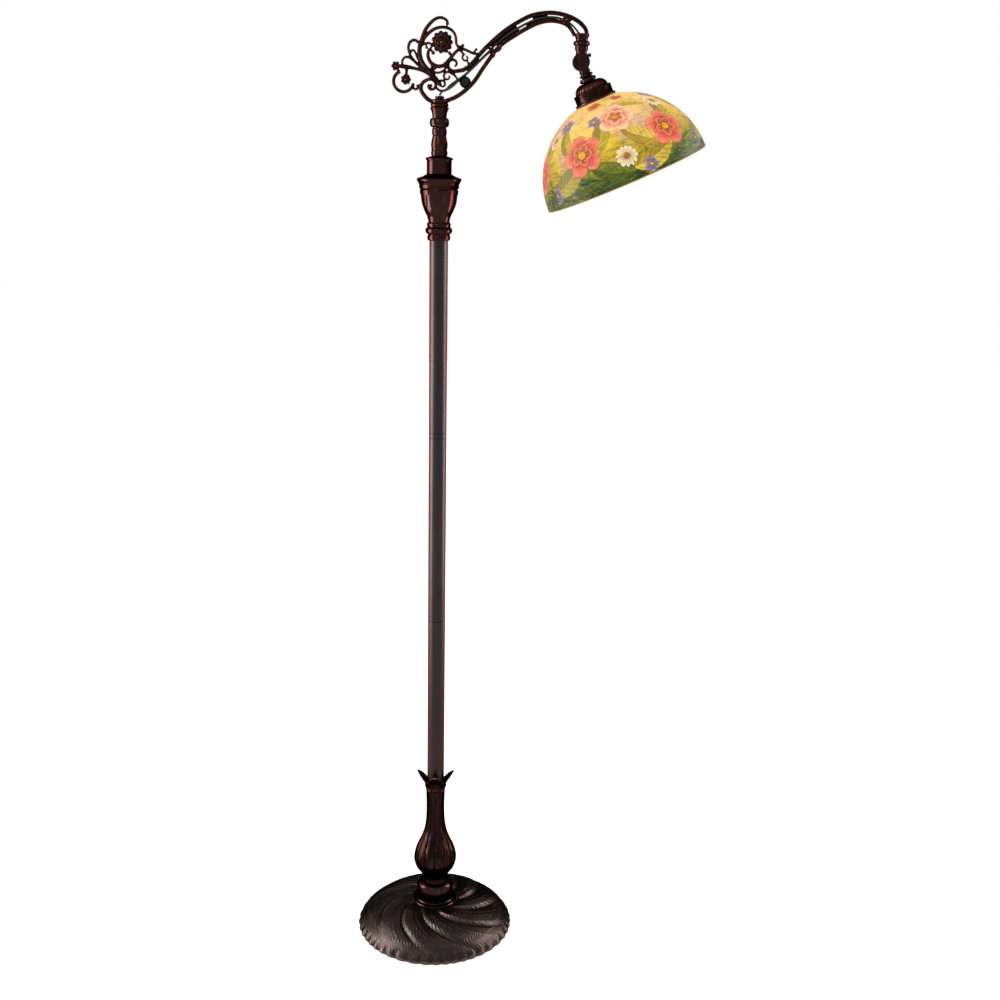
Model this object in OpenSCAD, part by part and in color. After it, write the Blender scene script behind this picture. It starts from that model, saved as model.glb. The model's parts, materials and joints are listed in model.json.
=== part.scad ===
// Bridge floor lamp: a cast base, a three-part pole, an openwork cast arm, a tilting knuckle
// and a glass dome shade. Millimetres, +Z up. The origin is at the centre of the flat
// underside, on the pole's axis, and the arm reaches towards +X.

/* [Base] */
// Diameter of the base over its scalloped edge
base_d = 268; // [250:1:290]
// Height of the base dome above the floor
base_h = 47; // [42:1:56]
// Wall of the base casting
base_wall = 5; // [4:0.5:6]
// Height of the dome's rolled rim
rim_h = 5; // [4:0.5:7]
// Number of swirling plumes in the dome's relief
plumes = 9; // [7:1:11]
// Number of small lobes on the rim, in each plume
plume_lobes = 5; // [4:1:6]
// Height of a plume's raised edge over its low edge
plume_relief = 2.6; // [1.5:0.1:3]
// Thickness of the felt pad
felt_t = 2; // [1:0.5:4]
// Thickness of the iron weight
weight_t = 20; // [17:0.5:23]

/* [Baluster] */
// Height of the turned ring on the dome
base_ring_h = 9; // [7:0.5:12]
// Height of the rounded collar under the baluster
collar_h = 30; // [24:1:38]
// Diameter of the rounded collar
collar_d = 63.5; // [58:0.5:70]
// Height of the fluted baluster
baluster_h = 176; // [150:1:200]
// Diameter of the baluster at its belly
belly_d = 74; // [66:0.5:80]
// Diameter of the baluster at its waist
waist_d = 31; // [30:0.5:36]
// Number of flutes
flutes = 12; // [10:1:16]
// Height of the leaf cup over its leaf tips
leaf_cup_h = 34; // [28:0.5:42]
// Diameter over the tips of the leaves
leaf_span = 63; // [54:0.5:74]

/* [Pole] */
// Outer diameter of the pole tubes
pole_d = 28.6; // [26:0.1:29]
// Wall of the pole tubes
pole_wall = 1.5; // [1:0.1:2.5]
// Length of each of the three tubes
pole_len = 301; // [250:1:340]
// Height of the ring that shows on a coupler
coupler_h = 9; // [6:0.5:14]
// Length of the spigots that go into the tubes
spigot_len = 14; // [10:0.5:22]

/* [Head of the column] */
// Height of the collar on the pole's top
head_collar_h = 9; // [7:0.5:12]
// Height of the pair of neck rings
neck_rings_h = 19; // [15:0.5:24]
// Height of the urn
urn_h = 55; // [46:0.5:66]
// Diameter of the urn at its rim
urn_d = 60.8; // [56:0.2:66]
// Height of the sloped cap
cap_h = 16; // [13:0.5:20]
// Diameter of the sloped cap
cap_d = 68.4; // [66.5:0.1:76]
// Height of the round block
block_h = 26; // [20:0.5:32]
// Diameter of the round block
block_d = 37.8; // [34:0.2:40]
// Height of the spindle
spindle_h = 42; // [34:0.5:52]
// Height of the spool under the arm
spool_h = 29; // [24:0.5:36]

/* [Arm] */
// Distance from the pole's axis to the knuckle's axis
arm_reach = 209.5; // [185:0.5:240]
// Height of the arm's top edge above its seat
arm_rise = 139.4; // [130:0.2:150]
// Half thickness of the arm's rails, front to back
rail_depth = 4.3; // [3.5:0.1:5.5]
// Half width of the arm's rails, seen from the front
rail_half = 3.2; // [2.8:0.1:3.6]
// Diameter of the hub that sits on the spool
hub_d = 27.2; // [24:0.2:30]
// Height of the hub
hub_h = 12; // [10:0.5:15]
// Diameter of the lamp wire
wire_d = 3; // [2.4:0.1:3.2]

/* [Threaded pipe and nuts] */
// Outer diameter of the threaded pipe
pipe_d = 10; // [9:0.1:11]
// Bore of the threaded pipe
pipe_bore = 7; // [6:0.1:7.4]
// Thickness of the hexagon nuts
nut_t = 4.5; // [3.5:0.1:6]
// Width of the hexagon nuts across flats
nut_af = 14; // [13.5:0.1:16]

/* [Swivel] */
// Diameter of the knuckle's discs
knuckle_d = 25.8; // [23:0.1:27]
// Thickness of the knuckle, both halves together
knuckle_t = 14; // [12:0.2:16]
// Height from the knuckle's axis to the arm's yoke
swivel_rise = 32.5; // [30.5:0.5:38]
// Diameter of the knuckle's screw
pivot_d = 5; // [4:0.1:6]
// Tilt of the shade away from the pole, at rest
shade_tilt = 24; // [10:1:40]
// Length of the thumb key's bar
key_len = 21; // [16:0.5:23]

/* [Switch] */
// Diameter of the switch knob
knob_d = 17; // [14:0.5:19]
// Diameter of the switch body
switch_d = 11.4; // [10:0.2:12]

/* [Shade and holder] */
// Outer diameter of the glass shade
shade_d = 254; // [235:1:270]
// Thickness of the glass
glass_t = 3.5; // [2.5:0.1:5]
// Diameter of the hole in the top of the glass
shade_hole_d = 56; // [50:0.5:58]
// Distance from the knuckle's axis to the shade's rim
shade_drop = 183; // [176:1:190]
// Diameter of the holder's band
band_d = 58.8; // [56:0.2:60]
// Diameter of the holder's flange on the glass
flange_d = 63.2; // [62:0.2:66]
// Height of the holder's band
band_h = 13.5; // [11:0.5:15]
// Number of flutes on the holder's dome
holder_flutes = 28; // [20:1:32]

/* [Socket and bulb] */
// Outer diameter of the socket's shell
socket_d = 36; // [34:0.5:40]
// Length of the socket's shell
socket_len = 30; // [26:0.5:33]
// Diameter of the bulb's glass
bulb_d = 48; // [44:0.5:56]
// Length of the bulb's glass
bulb_len = 66; // [58:0.5:70]

/* [Fits] */
// Gap between pieces that seat on each other round a pipe or spigot
fit = 0.15; // [0.1:0.05:0.3]
// Radial clearance of the knuckle's screw
pivot_fit = 0.05; // [0.03:0.01:0.1]
// Gap between faces that turn on each other
face_gap = 0.2; // [0.1:0.05:0.4]

/* [Hidden] */
$fn = 64;

bronze = [0.2, 0.12, 0.1];
dark_bronze = [0.13, 0.09, 0.08];

// Heights of the seats, from the floor up
weight_top = felt_t + weight_t;
ring_z = base_h;
collar_z = ring_z + base_ring_h;
baluster_z = collar_z + collar_h;
cup_z = baluster_z + baluster_h;
cup_floor_t = 6;
pole_z = cup_z + cup_floor_t;
coupler1_z = pole_z + pole_len;
pole2_z = coupler1_z + coupler_h;
coupler2_z = pole2_z + pole_len;
pole3_z = coupler2_z + coupler_h;
head_z = pole3_z + pole_len;
neck_z = head_z + head_collar_h;
urn_z = neck_z + neck_rings_h;
cap_z = urn_z + urn_h;
block_z = cap_z + cap_h;
spindle_z = block_z + block_h;
spool_z = spindle_z + spindle_h;
arm_z = spool_z + spool_h;

// The arm's strokes are drawn at this reach and rise, in millimetres from the hub's seat
drawn_reach = 209.5;
drawn_rise = 139.4;
scroll_end = 60;
hub_zone = 20;
function reach_x(x) =
    x < scroll_end ? x : scroll_end + (x - scroll_end) * (arm_reach - scroll_end) / (drawn_reach - scroll_end);
function rise_z(z) =
    z < hub_zone ? z : hub_zone + (z - hub_zone) * (arm_rise - hub_zone) / (drawn_rise - hub_zone);

// Underside of the arm's yoke above the hub's seat, and the knuckle's axis above the floor
swivel_top = rise_z(100.4);
pivot_z = arm_z + swivel_top - swivel_rise;
knuckle_r = knuckle_d / 2;
wire_way_r = 4;

pole_r = pole_d / 2;
spigot_r = pole_r - pole_wall - fit;
pipe_r = pipe_d / 2;
pipe_hole_r = pipe_r + fit;

// Cubic curve through hand-set points, with a number of steps between two of them
function curve_at(a, b, c, d, t) =
    0.5 * (2 * b + (c - a) * t + (2 * a - 5 * b + 4 * c - d) * t * t
           + (3 * b - a - 3 * c + d) * t * t * t);
function smooth(p, n) =
    [for (i = [0:len(p) - 2]) for (k = [0:n - 1])
        curve_at(p[max(i - 1, 0)], p[i], p[i + 1], p[min(i + 2, len(p) - 1)], k / n),
     p[len(p) - 1]];

// Half-round moulding from one height to another, for turned profiles of [radius, height]
function bead(r, bulge, z0, z1, n = 8) =
    [for (k = [0:n]) [r + bulge * sin(180 * k / n), (z0 + z1) / 2 - (z1 - z0) / 2 * cos(180 * k / n)]];

// A turned piece with a straight bore
module turned(profile, bore_r) {
    low = profile[0][1];
    high = profile[len(profile) - 1][1];
    rotate_extrude()
        polygon(concat([[bore_r, low]], profile, [[bore_r, high]]));
}

// A turned piece cast hollow: open below, with a top plate that holds the pipe
module cast(profile, bore_r, wall) {
    low = profile[0][1];
    high = profile[len(profile) - 1][1];
    inside = [for (k = [len(profile) - 1:-1:0])
        let (p = profile[k]) if (p[1] <= high - wall && p[1] >= low) [p[0] - wall, p[1]]];
    rotate_extrude()
        polygon(concat(profile, [[bore_r, high], [bore_r, high - wall], [inside[0][0], high - wall]],
                       inside));
}

module pipe(outer_d, bore_d, z0, z1) {
    translate([0, 0, z0])
        difference() {
            cylinder(d = outer_d, h = z1 - z0);
            translate([0, 0, -1]) cylinder(d = bore_d, h = z1 - z0 + 2);
        }
}

module hex_nut(z0, thick, hole_r) {
    translate([0, 0, z0])
        difference() {
            cylinder(d = nut_af / cos(30), h = thick, $fn = 6);
            translate([0, 0, -1]) cylinder(r = hole_r, h = thick + 2);
        }
}

// Closed surface from rings of points: each ring has the same count, and the last joins
// the first when the rings go all the way round
module ring_surface(rings, closed) {
    m = len(rings[0]);
    n = len(rings);
    last = closed ? n - 1 : n - 2;
    sides = [for (i = [0:last]) for (k = [0:m - 1])
        let (a = i * m + k, b = i * m + (k + 1) % m,
             c = ((i + 1) % n) * m + (k + 1) % m, d = ((i + 1) % n) * m + k)
            each [[a, b, c], [a, c, d]]];
    caps = closed ? [] : [[for (k = [m - 1:-1:0]) k], [for (k = [0:m - 1]) (n - 1) * m + k]];
    polyhedron(points = [for (ring = rings) each ring], faces = concat(sides, caps), convexity = 10);
}

// ---- Base ----

base_r = base_d / 2;
boss_r = 38;
rim_wall = 6;
base_hole_r = 8;
plume_turn = 72;
plume_bend = 1.25;
plume_crest = 0.2;
plume_sunk = 0.35;
groove_depth = 2.4;
lobe_depth = 1.3;
recess_r = 16;
recess_h = 14;
slot_w = 8;
slot_h = 9;
pad_inset = 8;
weight_gap = 8;
wire_low_z = felt_t + 3;

// Height of the dome at a radius: flat under the boss, then falling ever faster to the rim
function dome(r, edge_r, top) =
    rim_h + (top - rim_h) * pow(1 - pow(max(0, min(1, (r - boss_r) / (edge_r - boss_r))), 2.3), 0.7);
// Radius at which the dome comes down to a height
function dome_radius(z, edge_r, top) =
    boss_r + (edge_r - boss_r) * pow(1 - pow((z - rim_h) / (top - rim_h), 1 / 0.7), 1 / 2.3);

inner_r = base_r - rim_wall;
inner_top = base_h - base_wall;
weight_r = dome_radius(weight_top + weight_gap, inner_r, inner_top);

// Goes from 0 to 1 with soft ends
function ease(x) = let (s = max(0, min(1, x))) s * s * (3 - 2 * s);
// Relief of a plume, at a share of its width and of the way from the boss to the rim: a
// groove along one edge, a crest beside it, and a slope down to the next plume
function plume(across, t) =
    let (slope = across < plume_crest ? across / plume_crest : (1 - across) / (1 - plume_crest),
         ends = ease(t / 0.16) * (1 - 0.72 * ease((t - 0.45) / 0.55)),
         groove = ease(t / 0.12) * (1 - 0.85 * ease((t - 0.5) / 0.35)))
    plume_relief * (slope - plume_sunk) * ends - (across == 0 ? groove_depth * groove : 0);

module base_felt() {
    color([0.12, 0.1, 0.1])
        cylinder(r = base_r - pad_inset, h = felt_t - 0.05);
}

module base_weight() {
    color([0.25, 0.25, 0.26])
        difference() {
            translate([0, 0, felt_t]) cylinder(r = weight_r, h = weight_t);
            translate([0, 0, felt_t - 1]) cylinder(r = recess_r, h = recess_h + 1);
            cylinder(r = pipe_hole_r, h = weight_top + 1);
            translate([-slot_w / 2, 0, felt_t - 1]) cube([slot_w, weight_r + 1, slot_h + 1]);
        }
}

module base_shell() {
    plume_steps = plume_lobes * 2;
    steps = plumes * plume_steps;
    outer_t = [0.08, 0.2, 0.34, 0.48, 0.62, 0.75, 0.87, 0.95];
    last = plume_turn;
    // Points of [radius, height, turn]: the turn lets the mesh follow the plumes
    rings = [for (j = [0:steps - 1])
        let (a = 360 * j / steps,
             edge = base_r - (j % 2) * lobe_depth,
             outer = [for (t = outer_t)
                 let (r = boss_r + (edge - boss_r) * t)
                     [r, dome(r, edge, base_h) + plume((j % plume_steps) / plume_steps, t),
                      plume_turn * pow(t, plume_bend)]],
             inner = [for (t = [0.9, 0.55])
                 let (r = boss_r + (inner_r - boss_r) * t) [r, dome(r, inner_r, inner_top), last]],
             profile = concat([[base_hole_r, base_h, last], [boss_r * 0.6, base_h, last / 2],
                               [boss_r, base_h, 0]], outer,
                              [[edge, rim_h, last], [edge - 1.5, felt_t, last], [inner_r, felt_t, last]],
                              inner, [[base_hole_r, inner_top, last]]))
            [for (k = [len(profile) - 1:-1:0])
                let (p = profile[k]) [p[0] * cos(a + p[2]), p[0] * sin(a + p[2]), p[1]]]];
    color(dark_bronze)
        difference() {
            ring_surface(rings, true);
            translate([0, base_r - rim_wall - 8, bushing_z]) rotate([-90, 0, 0])
                cylinder(d = bushing_d + 2 * fit, h = rim_wall + 16, $fn = 24);
        }
}

// The nut and washer that pull the whole column down on the base
washer_t = 1.5;
washer_z = felt_t + recess_h - washer_t;
nut_z = washer_z - nut_t;
base_pipe_z = nut_z - 1;

module base_washer() {
    color("silver") pipe(recess_r * 2 - 6, 2 * pipe_hole_r, washer_z, washer_z + washer_t);
}

module base_nut() {
    color("silver") hex_nut(nut_z, nut_t, pipe_hole_r);
}

// Bushing of the cord's way out, at the back of the base
bushing_d = 9;
bushing_bore = 5.5;
bushing_z = felt_t + 7;
bushing_lip = 1.5;
// The lip stands out far enough to clear a plume
bushing_out = 0.5;

module cord_bushing() {
    lip_y = dome_radius(bushing_z, base_r, base_h) + bushing_out;
    color([0.08, 0.08, 0.08])
        translate([0, 0, bushing_z]) rotate([-90, 0, 0])
            difference() {
                union() {
                    translate([0, 0, inner_r - 3]) cylinder(d = bushing_d, h = lip_y - inner_r + 3);
                    translate([0, 0, lip_y + 1]) cylinder(d = bushing_d + 3, h = bushing_lip);
                    translate([0, 0, lip_y - 1]) cylinder(d = bushing_d, h = 3);
                }
                cylinder(d = bushing_bore, h = base_r + 20);
            }
}

module base_pipe() {
    color("silver") pipe(pipe_d, pipe_bore, base_pipe_z, pole_z + spigot_len);
}

// ---- Baluster and its rings ----

cast_wall = 4;
ring_low_r = boss_r;
ring_high_r = 34.4;
baluster_foot_r = 22;

module base_ring() {
    mid = ring_z + base_ring_h * 0.5;
    color(bronze)
        turned(concat(bead(ring_low_r - 1.5, 1.5, ring_z, mid),
                      bead(ring_high_r - 1.5, 1.5, mid, collar_z)), pipe_hole_r);
}

module base_collar() {
    r = collar_d / 2;
    color(bronze)
        cast(smooth([[r - 3, collar_z], [r - 0.9, collar_z + collar_h * 0.2],
                     [r, collar_z + collar_h * 0.45], [r - 0.5, collar_z + collar_h * 0.7],
                     [r - 2.6, collar_z + collar_h * 0.9], [baluster_foot_r + 1, baluster_z]], 4),
             pipe_hole_r, cast_wall);
}

// Height as a share of the baluster's own height, and radius, both from the foot up
belly_r = belly_d / 2;
waist_r = waist_d / 2;
function baluster_radius() =
    [[baluster_foot_r, 0], [baluster_foot_r, 0.065], [belly_r * 0.735, 0.11], [belly_r * 0.88, 0.155],
     [belly_r * 0.96, 0.2], [belly_r, 0.25], [belly_r * 0.955, 0.31], [belly_r * 0.855, 0.377],
     [waist_r + 9, 0.465], [waist_r + 3.8, 0.555], [waist_r + 0.9, 0.66], [waist_r, 0.8],
     [waist_r + 0.8, 1]];

module baluster() {
    steps = flutes * 4;
    shape = baluster_radius();
    rings = [for (j = [0:steps - 1])
        let (a = 360 * j / steps,
             groove = 1 - abs(sin(flutes * a / 2)),
             outer = [for (p = shape)
                 let (depth = p[1] < 0.07 ? 0 : p[1] > 0.95 ? 0 : 0.3 + (p[0] - waist_r) * 0.09)
                     [p[0] - depth * groove, baluster_z + baluster_h * p[1]]],
             inside = [for (p = [[pipe_hole_r, 1], [pipe_hole_r, 0.96], [waist_r - cast_wall, 0.96],
                                 [waist_r - cast_wall + 1, 0.62], [belly_r - cast_wall - 4, 0.25],
                                 [baluster_foot_r - cast_wall, 0.05], [baluster_foot_r - cast_wall, 0]])
                 [p[0], baluster_z + baluster_h * p[1]]],
             profile = concat(outer, inside))
            [for (p = profile) [p[0] * cos(a), p[0] * sin(a), p[1]]]];
    color(bronze) ring_surface(rings, true);
}

// Cup of four pointed leaves that curl away from the pole
leaf_half_angle = 36;
leaf_t = 2.2;

module leaf_cup() {
    steps = 40;
    root_r = waist_r + 1.6;
    wall_r = pole_r + fit;
    tip_r = leaf_span / 2;
    valley_h = leaf_cup_h * 0.45;
    rings = [for (j = [0:steps - 1])
        let (a = 360 * j / steps,
             off = abs(((a + 45) % 90) - 45),
             leaf = pow(max(0, 1 - off / leaf_half_angle), 0.8),
             top = valley_h + (leaf_cup_h - valley_h) * leaf,
             lip_r = root_r + 3 + (tip_r - root_r - 3) * leaf,
             outer = [[root_r, 0], [root_r + 1, 3], [root_r + 1.4, valley_h * 0.55],
                      [root_r + 2 + 1.5 * leaf, valley_h * 0.55 + (top - valley_h * 0.55) * 0.45],
                      [root_r + 2.5 + (lip_r - root_r - 3) * 0.5, valley_h * 0.55 + (top - valley_h * 0.55) * 0.8],
                      [lip_r, top]],
             inner = [[lip_r - 1, top - leaf_t * 0.2],
                      [max(wall_r, root_r + 2.5 + (lip_r - root_r - 3) * 0.5 - leaf_t),
                       valley_h * 0.55 + (top - valley_h * 0.55) * 0.85],
                      [wall_r, cup_floor_t + 2], [wall_r, cup_floor_t]],
             profile = concat([[pipe_hole_r, 0]], outer, inner, [[pipe_hole_r, cup_floor_t]]))
            [for (p = profile) [p[0] * cos(a), p[0] * sin(a), cup_z + p[1]]]];
    color(bronze) ring_surface(rings, true);
}

// ---- Pole ----

module pole_tube(z0) {
    color([0.22, 0.18, 0.18]) pipe(pole_d, pole_d - 2 * pole_wall, z0, z0 + pole_len);
}

module pole_foot() {
    color("dimgray") pipe(2 * spigot_r, 2 * pipe_hole_r, pole_z, pole_z + spigot_len);
}

module lower_pole() { pole_tube(pole_z); }
module middle_pole() { pole_tube(pole2_z); }
module upper_pole() { pole_tube(pole3_z); }

// A coupler: spigots into both tubes and a ring, as wide as the pole, between two grooves
groove_w = 0.7;

module coupler(z0) {
    z1 = z0 + coupler_h;
    color([0.2, 0.16, 0.16])
        turned([[spigot_r, z0 - spigot_len], [spigot_r, z0], [pole_r - groove_w, z0],
                [pole_r - groove_w, z0 + groove_w], [pole_r, z0 + 2 * groove_w],
                [pole_r, z1 - 2 * groove_w], [pole_r - groove_w, z1 - groove_w],
                [pole_r - groove_w, z1], [spigot_r, z1], [spigot_r, z1 + spigot_len]],
               pipe_hole_r);
}

module lower_coupler() { coupler(coupler1_z); }
module upper_coupler() { coupler(coupler2_z); }

// ---- Head of the column ----

module head_collar() {
    r = pole_r + 3.4;
    color(bronze)
        turned(concat([[spigot_r, head_z - spigot_len], [spigot_r, head_z]],
                      bead(r - 1.2, 1.2, head_z, neck_z - 1), [[r - 1, neck_z]]), pipe_hole_r);
}

module neck_rings() {
    low_h = neck_rings_h * 0.55;
    color(bronze)
        turned(concat([[pole_r + 2.6, neck_z]],
                      bead(pole_r + 3.4, 3, neck_z + 1, neck_z + low_h),
                      bead(pole_r + 2.6, 1.5, neck_z + low_h + 0.4, urn_z - 1.5),
                      [[pole_r + 1.8, urn_z]]), pipe_hole_r);
}

// Urn: its outline swells out from the foot to a thin rim
urn_r = urn_d / 2;
function urn_profile(grow) =
    smooth([[urn_r * 0.53 + grow, urn_z], [urn_r * 0.6 + grow, urn_z + urn_h * 0.148],
            [urn_r * 0.7 + grow, urn_z + urn_h * 0.255], [urn_r * 0.78 + grow, urn_z + urn_h * 0.364],
            [urn_r * 0.83 + grow, urn_z + urn_h * 0.47], [urn_r * 0.88 + grow, urn_z + urn_h * 0.63],
            [urn_r * 0.915 + grow, urn_z + urn_h * 0.8], [urn_r * 0.93 + grow, urn_z + urn_h * 0.87]], 2);

drop_count = 6;
drop_first = -76;
drop_relief = 1.6;

module urn() {
    body = urn_profile(0);
    rooted = urn_profile(-cast_wall / 2);
    root = [for (k = [len(rooted) - 1:-1:0]) rooted[k]];
    rim_low = urn_z + urn_h * 0.92;
    color(bronze)
        union() {
            cast(concat(body, [[urn_r, rim_low], [urn_r, cap_z]]), pipe_hole_r, cast_wall);
            // Hanging drops, cut from a slightly larger urn and rooted in its wall
            intersection() {
                rotate_extrude() polygon(concat(urn_profile(drop_relief), root));
                union()
                    for (k = [0:drop_count - 1])
                        rotate([0, 0, drop_first + k * 360 / drop_count]) drop_blank();
            }
        }
}

// Upright prism with the outline of one hanging drop: two leaves over a long drop
module drop_blank() {
    top = urn_z + urn_h * 0.86;
    rotate([90, 0, 90]) linear_extrude(height = urn_r + 6)
        union() {
            polygon([[-1.2, top], [1.2, top], [2.6, top - 14], [1.6, top - 22], [0, top - 26],
                     [-1.6, top - 22], [-2.6, top - 14]]);
            polygon([[0, top], [7.5, top], [6, top - 6], [2.2, top - 8]]);
            polygon([[0, top], [-2.2, top - 8], [-6, top - 6], [-7.5, top]]);
        }
}

module urn_cap() {
    r = cap_d / 2;
    block_r = block_d / 2;
    color(bronze)
        turned([[urn_r, cap_z], [r - 2.4, cap_z + cap_h * 0.18], [r - 0.4, cap_z + cap_h * 0.4],
                [r, cap_z + cap_h * 0.52], [r - 0.6, cap_z + cap_h * 0.6],
                [block_r + 6, cap_z + cap_h * 0.78], [block_r + 0.9, cap_z + cap_h * 0.96],
                [block_r, block_z]], pipe_hole_r);
}

module cap_block() {
    r = block_d / 2;
    color(bronze)
        turned(concat([[r - 0.4, block_z], [r, block_z + 0.6], [r, spindle_z - 7]],
                      bead(r + 0.3, 1.5, spindle_z - 6, spindle_z - 2),
                      [[r - 3, spindle_z - 1], [13, spindle_z]]), pipe_hole_r);
}

module spindle() {
    low = spindle_z + 1;
    body_z = spindle_z + spindle_h * 0.2;
    neck_low = spindle_z + spindle_h * 0.72;
    color(bronze)
        turned(concat([[11.5, spindle_z]], bead(11.6, 1, low, body_z),
                      smooth([[11.6, body_z + 0.2], [12.6, spindle_z + spindle_h * 0.38],
                              [12, spindle_z + spindle_h * 0.5], [10.4, neck_low - 1]], 4),
                      bead(10, 1.2, neck_low, spool_z - 1), [[10, spool_z]]), pipe_hole_r);
}

module spool() {
    ring_top = spool_z + spool_h * 0.45;
    color(bronze)
        turned(concat([[11.5, spool_z]], bead(12.2, 2.5, spool_z + 0.6, ring_top),
                      smooth([[10.9, ring_top + 0.4], [11, spool_z + spool_h * 0.6],
                              [11.8, spool_z + spool_h * 0.76], [14.2, arm_z - 1.4]], 4),
                      [[14.2, arm_z - 0.8], [13.4, arm_z]]), pipe_hole_r);
}

locknut_d = 13.5;
locknut_h = 4;
top_pipe_end = arm_z + hub_h + locknut_h + 1;

module top_pipe() {
    color("silver") pipe(pipe_d, pipe_bore, head_z - spigot_len, top_pipe_end);
}

module arm_locknut() {
    z0 = arm_z + hub_h;
    color(dark_bronze)
        turned([[locknut_d / 2 - 0.5, z0], [locknut_d / 2, z0 + 0.5],
                [locknut_d / 2, z0 + locknut_h - 1], [locknut_d / 2 - 1, z0 + locknut_h]], pipe_hole_r);
}

// ---- Arm casting ----
// Its strokes are drawn from the front, as [across, up, half width] from the middle of the
// hub's seat. Past the scrollwork they stretch with the reach.

function drawn(p) = [reach_x(p[0]), rise_z(p[1]), p[2]];

// Turning curl round a centre, with its radius, angle and half width from start to end
function curl(c, r0, r1, a0, a1, w0, w1, n) =
    [for (k = [0:n])
        let (f = k / n, r = r0 + (r1 - r0) * f, a = a0 + (a1 - a0) * f)
            [c[0] + r * cos(a), c[1] + r * sin(a), w0 + (w1 - w0) * f]];

// One stroke of the casting: an oval bar that follows its path
module stroke(path, depth = 0, y = 0, sides = 6) {
    p = [for (q = path) drawn(q)];
    n = len(p);
    rings = [for (i = [0:n - 1])
        let (d = p[min(i + 1, n - 1)] - p[max(i - 1, 0)],
             len_d = norm([d[0], d[1]]),
             across = [-d[1] / len_d, d[0] / len_d],
             w = p[i][2],
             h = depth > 0 ? depth : w * 1.05 + 0.9)
            [for (k = [0:sides - 1])
                let (a = 360 * (k + 0.5) / sides)
                    [p[i][0] + across[0] * w * cos(a) * 1.06, y + h * sin(a) * 1.06,
                     p[i][1] + across[1] * w * cos(a) * 1.06]]];
    ring_surface(rings, false);
}

// A ball at the end of a curl
module ball(x, z, r, y = 0) {
    translate([reach_x(x), y, rise_z(z)]) sphere(r = r, $fn = 6);
}

// A flower seen from the front: petals round a button, on a round back
module flower(x, z, r, petals, y = 0) {
    translate([reach_x(x), y, rise_z(z)]) rotate([90, 0, 0]) {
        translate([0, 0, -2.2]) cylinder(r = r * 0.72, h = 3, $fn = 12);
        for (k = [0:petals - 1])
            rotate([0, 0, 360 * k / petals])
                translate([r * 0.66, 0, 0]) sphere(r = r * 0.34, $fn = 5);
        translate([0, 0, 0.9]) sphere(r = r * 0.3, $fn = 8);
    }
}

upper_rail_path = concat(
    curl([20.4, 61.6], 3, 10.3, -430, -76, 1.5, 2.8, 12),
    smooth([[34.2, 53.4, rail_half], [43.6, 59, rail_half], [53, 69, rail_half],
            [62, 79.5, rail_half], [72, 89.5, rail_half]], 2),
    smooth([[85.6, 101.9, rail_half], [100.4, 113.3, rail_half], [115.3, 122.4, rail_half],
            [133.1, 131.3, rail_half], [151, 135.2, rail_half], [166, 136, rail_half],
            [181.6, 133.8, rail_half], [195.8, 129, rail_half], [207.4, 122, rail_half],
            [215, 113.4, rail_half - 0.2], [216.6, 104.4, rail_half - 0.4]], 1));

lower_rail_path = smooth(
    [[8, 8.6, 3.4], [14, 10.8, rail_half], [24.6, 15.4, rail_half], [38, 24.6, rail_half],
     [51.2, 37.8, rail_half], [62.2, 53.9, rail_half], [72, 67.8, rail_half],
     [81.5, 80.8, rail_half], [94.4, 93.2, rail_half], [111, 104, rail_half],
     [128.6, 114.2, rail_half], [145.6, 122, rail_half], [163.4, 125.2, rail_half],
     [180, 122.9, rail_half], [190.5, 117, rail_half - 0.2], [199, 104.6, rail_half - 0.4]], 1);

middle_rail_path = smooth([[84, 89, 1.4], [104, 107, 1.5], [119, 115.8, 1.5], [136, 124.6, 1.5],
                           [152, 129.2, 1.5], [164, 130.4, 1.5], [172, 129.8, 1.4]], 1);
// Webs that close parts of the gaps between the rails, at the back
upper_web_path = smooth([[76, 87, 4], [88, 98.5, 4], [101, 108.5, 4], [113, 116.5, 3.6]], 1);
top_web_path = smooth([[136, 128.2, 3], [148, 132.2, 3], [158, 133.2, 3]], 1);
low_web_path = smooth([[128, 116.8, 4], [145.6, 125, 4], [162, 127.4, 4], [172, 126.6, 3]], 1);
side_web_path = smooth([[94, 97, 3], [105, 104.6, 4], [117, 111.4, 4]], 1);
web_y = 3;
web_half = 1.1;

module arm_rails() {
    stroke(upper_rail_path, rail_depth);
    stroke(lower_rail_path, rail_depth);
    stroke(middle_rail_path, 1.3, web_y);
    for (path = [upper_web_path, top_web_path, low_web_path, side_web_path])
        stroke(path, web_half, web_y, 6);
    // The leaf-ended bar that carries the wire, behind it
    stroke(smooth([[8.5, 23.5, 1], [13, 27.6, 2.8], [19.5, 32.8, 3.2], [27, 38.8, 2.5],
                   [37, 46.4, 2.1], [47, 55.4, 2.1], [58, 66, 2.1], [69, 76.6, 2.2],
                   [79, 84.5, 2.2]], 1), 1.9, 2.2, 6);
    // Band that crosses over the rails and the wire
    stroke(smooth([[59, 77, 1.6], [66, 83.6, 2], [72.4, 85.2, 2.1], [78.6, 81.6, 2.1],
                   [80.6, 75.4, 1.9], [77.4, 71, 1.6]], 2), 1.5, band_y, 6);
    stroke(smooth([[75, 84.4, 1.7], [81.2, 80.6, 1.8], [87, 81.6, 1.7], [91, 86, 1.5]], 2), 1.5, band_y, 6);
    ball(89.2, 88.6, 3, band_y + 1);
    // Rosette at the end of the middle rail
    flower(186.5, 127, 8, 6, -3.2);
}
band_y = -4.6;

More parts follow.
